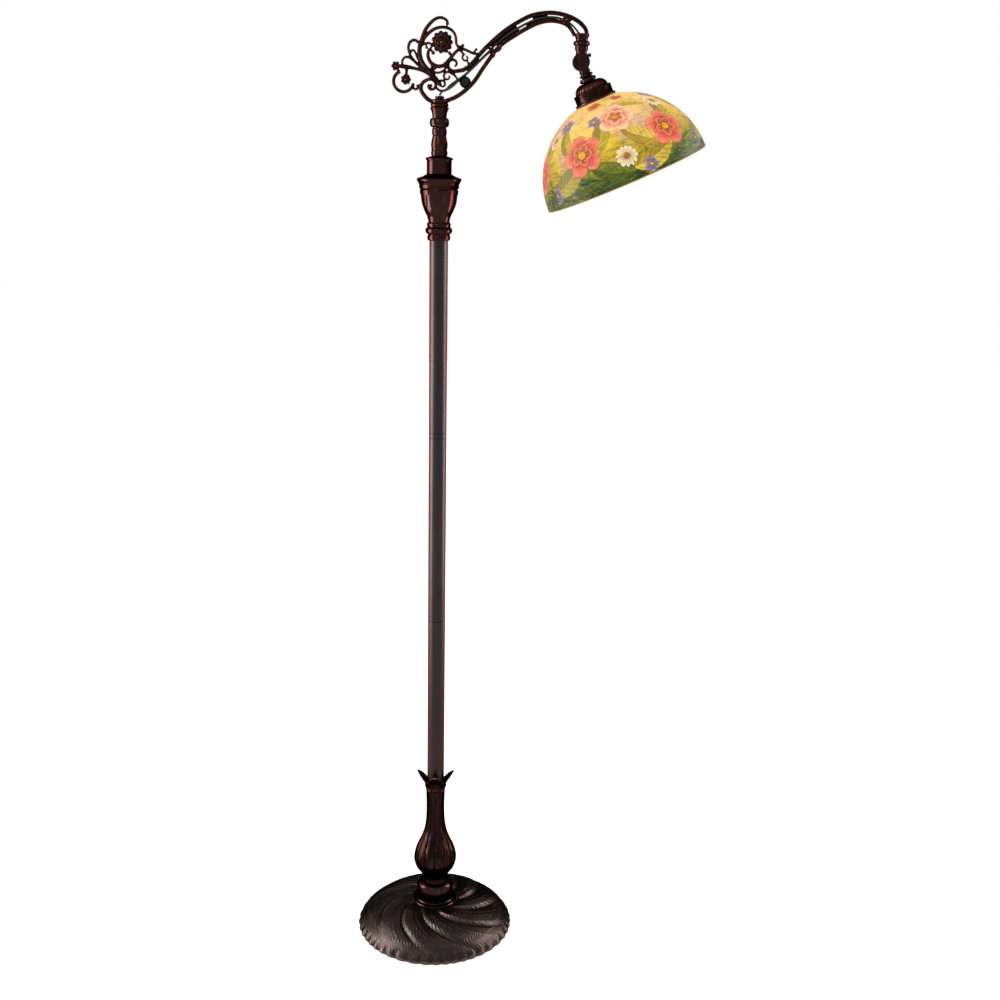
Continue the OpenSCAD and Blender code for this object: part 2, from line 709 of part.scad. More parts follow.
module arm_scrolls() {
    // Two arcs that rise over the big flower
    stroke(smooth([[-28.4, 91, 3], [-22.3, 107.6, 2.9], [-16.1, 116.5, 2.7], [-8.9, 123.4, 2.5],
                   [-1.7, 126.4, 2.3], [4.5, 126, 2.2], [9.7, 122.9, 2], [11.6, 119.6, 1.7]], 2));
    ball(10.8, 118.4, 2.7);
    stroke(smooth([[-27.4, 90, 3], [-22.8, 98.4, 2.9], [-16, 105.3, 2.7], [-7.8, 110.8, 2.5],
                   [1.5, 113.2, 2.4], [9.8, 112.7, 2.3], [17.1, 109.4, 2.2], [21.8, 104, 2.1],
                   [23.8, 97, 2.1], [24.2, 90.6, 2.1], [28.6, 84.2, 2]], 2));
    // Ring under the big flower, which runs on as a bar to the upper rail
    stroke(smooth([[-10.4, 78.6, 1.6], [-15.4, 81.6, 2], [-17.6, 76, 2.5], [-16.8, 69.5, 2.8],
                   [-13, 63, 2.9], [-6.5, 59.2, 2.9], [0.5, 58.3, 2.9], [7.5, 61, 2.9],
                   [13, 66.8, 2.8], [18.5, 73.4, 2.6], [24, 79.4, 2.4], [29.5, 83, 2.3],
                   [35.4, 83, 2.2], [42, 80.6, 2.1], [49, 77.6, 2], [57, 76.6, 1.8]], 2));
    ball(-9.9, 77, 2.9);
    stroke([[17.6, 72.4, 1.6], [14.6, 76.8, 1.6]]);
    ball(14.2, 77.3, 2.7);
    stroke(smooth([[24, 89.6, 1.6], [28.7, 86.4, 1.7], [33, 87.6, 1.5]], 2));
    ball(34, 88.3, 2.4);
    stroke([[48.4, 77, 1.6], [53, 82, 1.4]]);
    ball(53.8, 83, 2.2);
    // Small curls between that bar and the rail
    stroke(concat([[29.6, 82, 1.8], [32.6, 78.6, 1.8]],
                  curl([38.2, 70.9], 5.4, 2.2, 118, 440, 1.7, 1.3, 9)));
    stroke([[40.5, 66.4, 1.6], [44.6, 60.5, 1.6]]);
    stroke(concat([[26, 41, 1.6], [22.4, 45.8, 1.8]],
                  curl([11.4, 44], 7, 2.3, 62, 400, 1.9, 1.4, 10)));
    stroke(smooth([[-11, 59.6, 1.8], [-12.4, 54.2, 1.8], [-8.2, 50.2, 1.8], [-2.3, 49.2, 1.8],
                   [4, 51.3, 1.9], [8.3, 55.4, 1.9], [9.6, 61.4, 1.9]], 2));
    ball(-7.3, 56, 2.9);
    stroke(concat(curl([3.6, 33], 6, 2.4, 158, -190, 1.9, 1.4, 10)));
    stroke(smooth([[-6.5, 30, 1.8], [-2.6, 25.6, 1.9], [3, 23.4, 1.9], [10, 25, 2]], 2));
    // Foot scroll that stands on the hub
    stroke(concat(smooth([[-7.5, 7.4, 3], [-13.4, 8.8, 3.1], [-19, 12.4, 3.2], [-24.2, 18, 3.2],
                          [-27.6, 24, 3.1], [-27.6, 30.6, 3], [-24, 36, 2.8]], 2),
                  curl([-13.2, 30.8], 9.8, 3, 128, -220, 2.6, 1.6, 12)));
    ball(-12.9, 30.7, 2.5);
}

module arm_stems() {
    // Stems that spread from the root of the scrollwork
    stroke(smooth([[1, 31, 2.6], [-5.3, 38.2, 2.4], [-13.7, 45, 2.4], [-22.1, 50, 2.2],
                   [-32.5, 53.5, 2.2], [-42.9, 55.8, 2.8], [-53.4, 57, 3.3], [-62, 57.8, 2.4]], 1));
    flower(-65.2, 57.6, 7.4, 6, -0.4);
    stroke(curl([-53.9, 35.9], 14.9, 14.6, 108, 352, 2.6, 2.4, 14));
    stroke([[-49, 56, 2.4], [-49.9, 44, 2]]);
    flower(-50.3, 38.8, 8, 7, -0.4);
    stroke(concat(curl([-35.4, 28.6], 4.8, 2, 128, 440, 2, 1.5, 9)));
    stroke([[-31.8, 30.5, 1.8], [-26.5, 31.4, 1.8]]);
    stroke(smooth([[-2, 36.4, 2.2], [-15.8, 48.5, 2.4], [-27.3, 56.5, 2.4], [-34.6, 62.1, 2.2],
                   [-40.9, 67.2, 2], [-45.8, 70.2, 2], [-50.8, 70.5, 1.9], [-54.6, 67.4, 1.8],
                   [-56, 62.6, 1.8], [-54, 57.6, 1.6]], 1));
    stroke(smooth([[-27, 86, 2.3], [-33.2, 92.6, 2.3], [-38.8, 94.6, 2.2], [-44, 91.6, 2.2],
                   [-46.6, 85.4, 2.2], [-45.8, 78.6, 2.1], [-43, 71.8, 2.1], [-36.7, 64, 2.2],
                   [-27.3, 55.3, 2.2]], 1));
    stroke(smooth([[-16.9, 50.5, 1.6], [-26.3, 59.3, 1.7], [-32.5, 68.1, 1.7], [-35.7, 75.6, 1.7],
                   [-38.6, 80.2, 1.7], [-42, 79.6, 1.7], [-44.6, 75, 1.7]], 1));
    stroke(smooth([[1, 31, 3], [-3.2, 37.8, 3], [-12.7, 48.6, 3.1], [-20, 55.8, 3.2],
                   [-26, 63.6, 3.2], [-29.2, 71.5, 3.4], [-30.2, 79.5, 3.5], [-29.6, 87, 3.3],
                   [-27.4, 94, 3]], 1));
    stroke(smooth([[-29, 86, 1.8], [-22.2, 89.9, 1.8], [-16, 90.8, 1.8], [-12.2, 87.4, 1.7],
                   [-14.4, 82, 1.6]], 2));
    stroke([[-20.4, 89.6, 1.4], [-19.9, 85, 1.4]]);
    ball(-19.8, 84.6, 2.3);
}

medallion_x = 3.2;
medallion_z = 92.4;
medallion_r = 15.6;
medallion_petals = 9;

// The big flower: nine petals, a beaded ring and a button
module arm_medallion() {
    translate([medallion_x, -1.4, rise_z(medallion_z)]) rotate([90, 0, 0]) {
        translate([0, 0, -3]) cylinder(r = medallion_r * 0.8, h = 3.6, $fn = 18);
        for (k = [0:medallion_petals - 1])
            rotate([0, 0, 360 * k / medallion_petals])
                hull() {
                    translate([medallion_r * 0.76, 0, 0]) sphere(r = medallion_r * 0.25, $fn = 6);
                    translate([medallion_r * 0.5, 0, 0.8]) sphere(r = medallion_r * 0.15, $fn = 5);
                }
        rotate_extrude($fn = 14) translate([medallion_r * 0.36, 1.6]) circle(r = 2, $fn = 5);
        translate([0, 0, 1.4]) sphere(r = medallion_r * 0.2, $fn = 8);
    }
}

// Eye between the bars that holds the switch by its bush
eye_x = 37.8;
eye_z = 36.6;
eye_y = 1.6;
eye_t = 2.8;
eye_r = 8.4;
bush_d = 8;

// Hub with two beads, and the yoke at the other end with its bore for the wire
module arm_hub() {
    rotate_extrude($fn = 20)
        polygon(concat([[4, 0], [hub_d / 2 - 1.5, 0]],
                       bead(hub_d / 2 - 1.4, 1.4, 0.6, hub_h * 0.5, 3),
                       bead(hub_d / 2 - 2, 1.4, hub_h * 0.58, hub_h - 0.8, 3),
                       [[locknut_d / 2, hub_h], [4, hub_h]]));
}

yoke_low_r = 9.2;
yoke_high_r = 11.4;
module arm_yoke() {
    low = swivel_top;
    rotate_extrude($fn = 20)
        polygon([[3, low], [yoke_low_r, low], [yoke_low_r + 0.6, low + 2], [yoke_high_r - 0.7, low + 5],
                 [yoke_high_r, low + 6.8], [yoke_high_r - 1.4, low + 8], [yoke_high_r - 4, low + 7],
                 [3, low + 5]]);
}

module arm_casting() {
    color(bronze)
        translate([0, 0, arm_z])
            difference() {
                union() {
                    arm_rails();
                    arm_scrolls();
                    arm_stems();
                    arm_medallion();
                    arm_hub();
                    translate([arm_reach, 0, 0]) arm_yoke();
                    translate([eye_x, eye_y, rise_z(eye_z)]) rotate([-90, 0, 0])
                        cylinder(r = eye_r, h = eye_t, $fn = 20);
                }
                translate([0, 0, -1]) cylinder(r = pipe_hole_r + 0.1, h = hub_h + 3, $fn = 24);
                translate([arm_reach, 0, swivel_top - 1]) cylinder(r = wire_way_r, h = 30, $fn = 20);
                translate([eye_x, 0, rise_z(eye_z)]) rotate([-90, 0, 0])
                    cylinder(d = bush_d + 2 * fit + 0.1, h = 10, $fn = 20);
            }
}

// ---- Wire, switch ----

// The wire's route: in at the back of the base, up the column and along the arm
wire_up = arm_z + hub_h + locknut_h;
bend = 6;
base_route = concat(
    [[0, inner_r - 6, bushing_z], [0, inner_r - 16, bushing_z], [0, 100, wire_low_z + 2],
     [0, 80, wire_low_z], [0, 20, wire_low_z]],
    [for (a = [0:22.5:90]) [0, bend - bend * sin(a), wire_low_z + bend - bend * cos(a)]]);
function arm_point(x, y, z) = [reach_x(x), y, arm_z + rise_z(z)];
arm_route = smooth(
    [[0, 0, wire_up - 8], [0, -1.2, wire_up], arm_point(2, -4.3, 20.4), arm_point(6.4, -5.1, 23.4),
     arm_point(11, -5, 26.4), arm_point(15.5, -3.4, 29.8), arm_point(20.5, -1.7, 33.6),
     arm_point(27, -1.4, 38.8), arm_point(37, -1.4, 46.8), arm_point(47, -1.4, 55.6),
     arm_point(58, -1.4, 66.2), arm_point(69, -1.3, 77), arm_point(80, -0.9, 87.6),
     arm_point(94, -0.6, 100.4), arm_point(109, -0.6, 110.8), arm_point(126, -0.6, 120.2),
     arm_point(143, -0.6, 127.4), arm_point(158, -0.6, 130.1), arm_point(171, -0.4, 129.8),
     arm_point(181, 1.9, 127.4), arm_point(188, 2.4, 124.4), arm_point(197, 1.4, 117.6),
     arm_point(204.4, 0.4, 109), [arm_reach - 0.4, 0, arm_z + swivel_top + 3.6],
     [arm_reach, 0, arm_z + swivel_top - 6], [arm_reach, 0, pivot_z + knuckle_d / 2 + 4]], 2);
wire_sides = 6;

function unit(v) = v / norm(v);
function turn_frame(side, t) = unit(side - (side * t) * t);

module lamp_wire() {
    route = concat(base_route, arm_route);
    n = len(route);
    dirs = [for (i = [0:n - 1]) unit(route[min(i + 1, n - 1)] - route[max(i - 1, 0)])];
    sides_dir = [for (i = 0, s = [1, 0, 0]; i < n; i = i + 1, s = i < n ? turn_frame(s, dirs[i]) : s) s];
    rings = [for (i = [0:n - 1])
        let (s = turn_frame(sides_dir[i], dirs[i]), u = cross(dirs[i], s))
            [for (k = [0:wire_sides - 1])
                let (a = 360 * k / wire_sides)
                    route[i] + wire_d / 2 * (s * cos(a) - u * sin(a))]];
    color([0.25, 0.25, 0.26]) ring_surface(rings, false);
}

// Switch: its bush goes back through the eye, with the nut and the knob behind
switch_front = 8;
bush_len = 7;
switch_nut_t = 2.2;
knob_t = 11;
nut_y = eye_y + eye_t + 0.05;
knob_y = nut_y + switch_nut_t + 0.5;

module at_switch() {
    translate([eye_x, 0, arm_z + rise_z(eye_z)]) rotate([-90, 0, 0]) children();
}

module switch_body() {
    color([0.07, 0.07, 0.07])
        at_switch()
            union() {
                translate([0, 0, eye_y - 0.05 - switch_front]) cylinder(d = switch_d, h = switch_front);
                translate([0, 0, eye_y - 1]) cylinder(d = bush_d, h = 1 + eye_t + switch_nut_t + 0.2);
                translate([0, 0, eye_y]) cylinder(d = 4, h = eye_t + bush_len);
            }
}

module switch_nut() {
    color("silver")
        at_switch()
            difference() {
                translate([0, 0, nut_y]) cylinder(d = 11.5, h = switch_nut_t, $fn = 6);
                translate([0, 0, nut_y - 1]) cylinder(d = bush_d + 2 * fit, h = switch_nut_t + 2);
            }
}

module switch_knob() {
    color([0.07, 0.07, 0.07])
        at_switch()
            translate([0, 0, knob_y])
                difference() {
                    union() {
                        cylinder(d = knob_d, h = knob_t - 2);
                        translate([0, 0, knob_t - 2]) cylinder(d1 = knob_d, d2 = knob_d - 4, h = 2);
                    }
                    translate([0, 0, -1]) cylinder(d = 4 + 2 * pivot_fit, h = 8);
                    for (k = [0:15])
                        rotate([0, 0, 22.5 * k]) translate([knob_d / 2 + 0.5, 0, -1])
                            cylinder(d = 2, h = knob_t + 2);
                }
}

// ---- Swivel ----

knuckle_seat_r = knuckle_r + 0.4;
half_t = knuckle_t / 2;

module upper_frame() { translate([arm_reach, 0, pivot_z]) children(); }
// Turned pieces of the shade head are drawn along -Z from the knuckle's axis
module head_frame() { translate([arm_reach, 0, pivot_z]) rotate([0, -shade_tilt, 0]) children(); }

// Disc of one knuckle half, between two planes across its axis
module half_disc(y0, y1) {
    translate([0, y0, 0]) rotate([-90, 0, 0]) cylinder(r = knuckle_r, h = y1 - y0);
}

module swivel_upper() {
    seat = knuckle_seat_r;
    top = swivel_rise;
    neck = concat([[8.2, 7], [8.2, seat + 2.6], [9.7, seat + 3], [9.7, top - 10]],
                  bead(10.4, 1.9, top - 9.4, top - 3.2), [[9, top - 2.6], [9, top - 0.05]]);
    color(dark_bronze)
        upper_frame()
            difference() {
                union() {
                    half_disc(face_gap / 2, half_t);
                    rotate_extrude() polygon(concat([[0, 7]], neck, [[0, top - 0.05]]));
                }
                translate([0, -20 + face_gap / 2, 0]) rotate([-90, 0, 0]) cylinder(r = seat, h = 20);
                translate([0, half_t, 0]) rotate([-90, 0, 0]) cylinder(r = seat, h = 20);
                rotate([-90, 0, 0]) cylinder(d = pivot_d + 2 * pivot_fit, h = 20);
                translate([0, 0, seat + 1]) cylinder(r = wire_way_r, h = top);
            }
}

holder_neck_top = 17.6;
holder_neck_low = 30.2;

module swivel_lower() {
    seat = knuckle_seat_r;
    neck = concat([[0, -7], [7.8, -7], [7.8, -seat - 0.2]], bead(7.6, 1.2, -seat - 0.4, -seat - 2.9, 6),
                  [[7.4, -seat - 3.2], [7.4, -holder_neck_top + 0.05], [0, -holder_neck_top + 0.05]]);
    color(dark_bronze)
        head_frame()
            difference() {
                union() {
                    half_disc(-half_t, -face_gap / 2);
                    rotate_extrude() polygon(neck);
                }
                translate([0, -face_gap / 2, 0]) rotate([-90, 0, 0]) cylinder(r = seat, h = 20);
                translate([0, -half_t - 20, 0]) rotate([-90, 0, 0]) cylinder(r = seat, h = 20);
                translate([0, -20, 0]) rotate([-90, 0, 0]) cylinder(d = pivot_d + 2 * pivot_fit, h = 21);
                translate([0, 0, -holder_neck_top - 1]) cylinder(r = pipe_hole_r, h = 3.4);
            }
}

// Thumb key: a bar on a short arm, with the screw that pins the knuckle
key_hub_d = 12;
key_hub_t = 3.6;
key_y = -half_t - face_gap;
key_bar_t = 5;
key_angle = 18;
key_lift = 8.6;

module swivel_key() {
    color(dark_bronze)
        upper_frame()
            union() {
                translate([0, key_y - key_hub_t, 0]) rotate([-90, 0, 0])
                    cylinder(d = key_hub_d, h = key_hub_t);
                translate([0, key_y - key_hub_t, 0]) rotate([-90, 0, 0])
                    cylinder(d = pivot_d, h = key_hub_t + face_gap + knuckle_t + 0.6);
                translate([0, key_y - key_hub_t - key_bar_t + 0.8, 0]) rotate([-90, 0, 0])
                    linear_extrude(height = key_bar_t)
                        polygon([for (p = key_outline()) [p[0], -p[1]]]);
            }
}

// Outline of the key's bar, from the front: it widens towards its free end
function key_outline() =
    let (c = cos(key_angle), s = sin(key_angle), a = -5.5, b = key_len - 5.5)
        [for (p = [[a, -7.5], [a + 5.5, -8.5], [a + 9, -1.6], [b, -2.9], [b, 2.6], [a + 6, 1.9],
                   [a, 1.2], [a - 0.8, -3]])
            [p[0] * c - p[1] * s - 1.4, p[0] * s + p[1] * c + key_lift - 3.2]];

// ---- Shade head ----

shade_r = shade_d / 2;
// Distance along the shade's axis at which a sphere of the shade comes up to a radius
function shade_top(sphere_r, at_r) = shade_drop - sqrt(sphere_r * sphere_r - at_r * at_r);
hole_r = shade_hole_d / 2;
gasket_inner_r = hole_r + 1;
gasket_outer_r = flange_d / 2;
glass_seat = shade_top(shade_r, gasket_inner_r);
gasket_t = 1;
flange_low = glass_seat - gasket_t;
flange_t = 1.6;
band_low = flange_low - flange_t;
band_top = band_low - band_h;
holder_wall = 1.5;
neck_ring_h = 6.2;
crown_top_r = 12;
crown_low_r = 25.5;
crown_flute_r = 0.9;
crown_flute_tilt = 38;

module holder_neck() {
    low = -holder_neck_low;
    top = -holder_neck_top;
    color(dark_bronze)
        head_frame()
            turned(concat([[7.6, low + 0.05]], bead(10.6, 1.9, low + 0.3, low + neck_ring_h, 8),
                          [[8.2, low + neck_ring_h + 0.8], [7.8, low + neck_ring_h + 1.8]],
                          bead(8.8, 1.7, low + neck_ring_h + 2.2, top - 0.8, 8), [[7.4, top]]),
                   pipe_hole_r);
}

// Fluted dome over a plain band, with a flange that sits on the glass through a gasket
module shade_holder() {
    top = holder_neck_low;
    r = band_d / 2;
    dome_low = band_top;
    crown = dome_low - top;
    outer = concat([[crown_top_r, -top]],
                   [for (k = [1:7]) let (a = 90 * k / 7)
                       [crown_top_r + (crown_low_r - crown_top_r) * sin(a), -top - crown * (1 - cos(a))]],
                   [[r - 0.4, -dome_low], [r, -dome_low - 0.8], [r - 0.3, -band_low + 0.6],
                    [flange_d / 2, -band_low], [flange_d / 2, -flange_low]]);
    inner = [[r - holder_wall, -flange_low], [r - holder_wall, -dome_low - holder_wall],
             [crown_low_r - 2 * holder_wall, -dome_low - holder_wall],
             [crown_top_r, -top - 2 * holder_wall], [pipe_hole_r, -top - 2 * holder_wall],
             [pipe_hole_r, -top]];
    color(bronze)
        head_frame()
            difference() {
                rotate_extrude() polygon(concat(outer, inner));
                for (k = [0:holder_flutes - 1])
                    rotate([0, 0, 360 * k / holder_flutes])
                        translate([crown_top_r + (crown_low_r - crown_top_r) * 0.64, 0, -top - crown / 2])
                            rotate([0, crown_flute_tilt, 0])
                                cylinder(r = crown_flute_r, h = 2 * crown, center = true, $fn = 16);
            }
}

module shade_gasket() {
    color([0.05, 0.05, 0.05])
        head_frame()
            rotate_extrude()
                polygon([[gasket_inner_r, -flange_low - 0.05], [gasket_outer_r, -flange_low - 0.05],
                         [gasket_outer_r, -shade_top(shade_r, gasket_outer_r) + 0.1],
                         [gasket_inner_r, -glass_seat + 0.1]]);
}

plate_r = hole_r + 6;
plate_top = shade_top(shade_r - glass_t, plate_r) + 0.2;
plate_t = 1.5;
clamp_z = plate_top + plate_t;
socket_top = clamp_z + nut_t + 0.2;
cap_len = 8;
shell_top = socket_top + cap_len;
pipe_low = socket_top + 5;

module socket_pipe() {
    color("silver") head_frame() pipe(pipe_d, pipe_bore, -pipe_low, -holder_neck_top + 1.6);
}

module clamp_plate() {
    color("silver")
        head_frame() pipe(2 * plate_r, 2 * pipe_hole_r, -clamp_z, -plate_top);
}

module clamp_nut() {
    color("silver") head_frame() hex_nut(-clamp_z - nut_t, nut_t, pipe_hole_r);
}

module socket_cap() {
    r = socket_d / 2;
    color([0.75, 0.6, 0.3])
        head_frame()
            rotate_extrude()
                polygon([[pipe_hole_r, -socket_top], [r - 6, -socket_top], [r - 1, -socket_top - 4],
                         [r, -shell_top + 1], [r, -shell_top], [r - 1, -shell_top],
                         [r - 2, -socket_top - 5], [r - 7, -socket_top - 1.4],
                         [pipe_hole_r, -socket_top - 1.4]]);
}

module socket_shell() {
    color([0.75, 0.6, 0.3])
        head_frame() pipe(socket_d - 0.6, socket_d - 2.4, -shell_top - socket_len, -shell_top - 0.05);
}

insulator_t = 8;
thread_r = 13.9;
thread_wall = 0.5;
contact_z = shell_top + insulator_t;

module socket_insulator() {
    color([0.9, 0.88, 0.8])
        head_frame()
            difference() {
                union() {
                    translate([0, 0, -contact_z]) cylinder(d = socket_d - 2.7, h = insulator_t);
                    translate([0, 0, -contact_z - 0.4]) cylinder(r = 3, h = 1);
                }
                translate([0, 0, -shell_top - 3]) cylinder(r = 6, h = 4);
            }
}

module screw_shell() {
    color([0.8, 0.65, 0.3])
        head_frame()
            pipe(2 * thread_r, 2 * (thread_r - thread_wall), -shell_top - socket_len + 2, -contact_z - 0.05);
}

// Glass dome: half a hollow ball with a hole at its top and a ground rim
module shade() {
    color([0.85, 0.75, 0.4])
        head_frame()
            translate([0, 0, -shade_drop])
                difference() {
                    sphere(r = shade_r, $fn = 128);
                    sphere(r = shade_r - glass_t, $fn = 128);
                    translate([-shade_r - 1, -shade_r - 1, -shade_r - 1])
                        cube([2 * shade_r + 2, 2 * shade_r + 2, shade_r + 1]);
                    cylinder(r = hole_r, h = shade_r + 10);
                }
}

bulb_cap_r = thread_r - thread_wall - 0.3;
bulb_cap_len = 22;
bulb_cap_z = contact_z + 0.7;
bulb_z = bulb_cap_z + bulb_cap_len;

module bulb_cap() {
    color("silver")
        head_frame()
            rotate_extrude()
                polygon([[0, -bulb_cap_z], [4.5, -bulb_cap_z], [5, -bulb_cap_z - 1], [10, -bulb_cap_z - 3],
                         [bulb_cap_r - 0.8, -bulb_cap_z - 4], [bulb_cap_r, -bulb_cap_z - 5],
                         [bulb_cap_r, -bulb_z], [0, -bulb_z]]);
}

module bulb_glass() {
    r = bulb_d / 2;
    ball_z = bulb_z + bulb_len - r;
    color([0.95, 0.95, 0.92])
        head_frame()
            rotate_extrude()
                polygon(concat([[0, -bulb_z - 0.05], [bulb_cap_r - 0.6, -bulb_z - 0.05]],
                               smooth([[bulb_cap_r - 0.4, -bulb_z - 2], [r * 0.66, -bulb_z - bulb_len * 0.2],
                                       [r * 0.88, -bulb_z - bulb_len * 0.38], [r, -ball_z]], 4),
                               [for (a = [10:10:80]) [r * cos(a), -ball_z - r * sin(a)]],
                               [[0, -bulb_z - bulb_len]]));
}

base_felt();
base_weight();
base_shell();
base_washer();
base_nut();
cord_bushing();
base_pipe();
base_ring();
base_collar();
baluster();
leaf_cup();
pole_foot();
lower_pole();
lower_coupler();
middle_pole();
upper_coupler();
upper_pole();
head_collar();
neck_rings();
urn();
urn_cap();
cap_block();
spindle();
spool();
top_pipe();
arm_casting();
arm_locknut();
lamp_wire();
switch_body();
switch_nut();
switch_knob();
swivel_upper();
swivel_lower();
swivel_key();
holder_neck();
shade_holder();
shade_gasket();
socket_pipe();
clamp_plate();
clamp_nut();
socket_cap();
socket_shell();
socket_insulator();
screw_shell();
shade();
bulb_glass();
bulb_cap();
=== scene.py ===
# %% [markdown]
# # Bridge floor lamp: looks
# The lamp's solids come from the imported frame. This notebook adds what a photograph shows on
# top of them: relief too fine for solids, finishes, light and a camera.
# Metres, +Z up. The pole stands on the origin and the arm reaches along +X.

import bmesh
import bpy
import json
import math
import numpy as np
from mathutils import Matrix, Vector


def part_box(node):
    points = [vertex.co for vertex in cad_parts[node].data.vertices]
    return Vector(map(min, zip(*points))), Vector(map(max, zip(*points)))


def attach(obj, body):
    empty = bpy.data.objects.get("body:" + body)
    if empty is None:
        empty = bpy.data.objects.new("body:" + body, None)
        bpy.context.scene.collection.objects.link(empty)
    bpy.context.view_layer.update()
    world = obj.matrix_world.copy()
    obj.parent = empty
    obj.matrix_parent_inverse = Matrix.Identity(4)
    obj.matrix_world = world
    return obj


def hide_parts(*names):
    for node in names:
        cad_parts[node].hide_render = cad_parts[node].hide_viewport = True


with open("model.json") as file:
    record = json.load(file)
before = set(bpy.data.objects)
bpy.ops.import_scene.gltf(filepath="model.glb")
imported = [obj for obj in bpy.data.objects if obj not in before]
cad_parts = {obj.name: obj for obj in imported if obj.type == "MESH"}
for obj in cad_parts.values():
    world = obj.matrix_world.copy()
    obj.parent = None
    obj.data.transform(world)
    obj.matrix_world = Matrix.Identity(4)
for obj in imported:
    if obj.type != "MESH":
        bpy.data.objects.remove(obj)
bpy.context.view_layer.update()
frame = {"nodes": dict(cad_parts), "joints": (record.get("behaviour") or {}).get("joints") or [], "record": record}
NODES = frame["nodes"]
MM = 0.001
SHADE_TILT = math.radians(24)
JOINTS = {joint["name"]: joint for joint in frame["joints"]}
HINGE = Vector(JOINTS["shade_tilt"]["pos_m"])

# %% [markdown]
# ## Camera
# One perspective camera was fitted to the pole, the base's rim, the arm's strokes and the
# shade's rim in the photograph. Its roll is about one degree, and it has no shift.

# %% Camera
CAMERA_AT = Vector((0.10156, -2.065, 1.34469))
CAMERA_DOWN = math.radians(15.366)
CAMERA_ROLL = math.radians(1.084)
CAMERA_LENS = 47.634


def add_camera():
    data = bpy.data.cameras.new("camera")
    data.sensor_width = 36
    data.lens = CAMERA_LENS
    data.clip_start, data.clip_end = 0.05, 50
    camera = bpy.data.objects.new("camera", data)
    bpy.context.scene.collection.objects.link(camera)
    ahead = Vector((0, math.cos(CAMERA_DOWN), -math.sin(CAMERA_DOWN)))
    level = Vector((1, 0, 0))
    up = level.cross(ahead)
    right = level * math.cos(CAMERA_ROLL) + up * math.sin(CAMERA_ROLL)
    top = up * math.cos(CAMERA_ROLL) - level * math.sin(CAMERA_ROLL)
    turn = Matrix((right, top, -ahead)).transposed()
    camera.matrix_world = Matrix.Translation(CAMERA_AT) @ turn.to_4x4()
    bpy.context.scene.camera = camera


add_camera()

# %% [markdown]
# ## Finishes: helpers
# A material is a small tree of nodes. These helpers make one node, set its inputs and link
# it in one line, so that each finish below reads like a recipe. Colours are written as the
# eye sees them (0 to 255) and turned into the linear values that Blender counts with.

# %% Node helpers


def seen(r, g, b):
    """The linear colour for 8-bit values as a screen shows them."""
    shares = [c / 255 for c in (r, g, b)]
    return (*[c / 12.92 if c < 0.0405 else ((c + 0.055) / 1.055) ** 2.4 for c in shares], 1.0)


def grey(value):
    return (value, value, value, 1)


class Signal:
    """An output socket that reckons like a number: each sign adds one Math node to its tree."""

    def __init__(self, socket):
        self.socket = socket

    def __abs__(self):
        return sums(self.socket.id_data, "ABSOLUTE", self)


def signals(sockets):
    return {socket.name: Signal(socket) for socket in sockets}


def connect(sockets, values):
    """Links each named input to a socket, or sets it to a plain value."""
    for name, value in values.items():
        value = value.socket if isinstance(value, Signal) else value
        if isinstance(value, bpy.types.NodeSocket):
            sockets[name].id_data.links.new(value, sockets[name])
        else:
            sockets[name].default_value = value


def node(tree, kind, inputs=None, **settings):
    made = tree.nodes.new(kind)
    for name, value in settings.items():
        setattr(made, name, value)
    connect(made.inputs, inputs or {})
    return made


def sums(tree, operation, a, b=0.0, c=0.0, clamp=False):
    return Signal(node(tree, "ShaderNodeMath", {0: a, 1: b, 2: c}, operation=operation,
                       use_clamp=clamp).outputs[0])


# The signs +, -, *, / and ** work between a signal and a signal, a socket or a number
SIGNS = {"add": "ADD", "sub": "SUBTRACT", "mul": "MULTIPLY", "truediv": "DIVIDE", "pow": "POWER"}
for sign, how in SIGNS.items():
    setattr(Signal, f"__{sign}__", lambda a, b, how=how: sums(a.socket.id_data, how, a, b))
    setattr(Signal, f"__r{sign}__", lambda a, b, how=how: sums(a.socket.id_data, how, b, a))


def blend(tree, factor, a, b, how="MIX"):
    made = node(tree, "ShaderNodeMix", {0: factor, 6: a, 7: b}, data_type="RGBA", blend_type=how)
    return made.outputs[2]


def remap(tree, value, low, high, to_low=0.0, to_high=1.0):
    """A soft step from one range to another. It never leaves its range, so it needs no clamp."""
    return Signal(node(tree, "ShaderNodeMapRange", {0: value, 1: low, 2: high, 3: to_low,
            4: to_high}, interpolation_type="SMOOTHSTEP", clamp=False).outputs[0])


def ramp(tree, factor, stops):
    made = node(tree, "ShaderNodeValToRGB", {0: factor})
    bar = made.color_ramp
    while len(bar.elements) < len(stops):
        bar.elements.new(0.5)
    for element, (place, colour) in zip(bar.elements, stops):
        element.position = place
        element.color = colour
    return made.outputs[0]


def noise(tree, point, scale, detail=4.0, rough=0.55, distortion=0.0):
    return Signal(node(tree, "ShaderNodeTexNoise", {
        "Vector": point, "Scale": scale, "Detail": detail, "Roughness": rough,
        "Distortion": distortion}).outputs[0])


def object_point(tree):
    return node(tree, "ShaderNodeTexCoord").outputs["Object"]


def stretched(tree, point, scale, turn=(0, 0, 0), shift=(0, 0, 0)):
    return node(tree, "ShaderNodeMapping", {"Vector": point, "Scale": scale, "Rotation": turn,
                                            "Location": shift}).outputs[0]


NUMBER, COLOUR, VECTOR = "NodeSocketFloat", "NodeSocketColor", "NodeSocketVector"


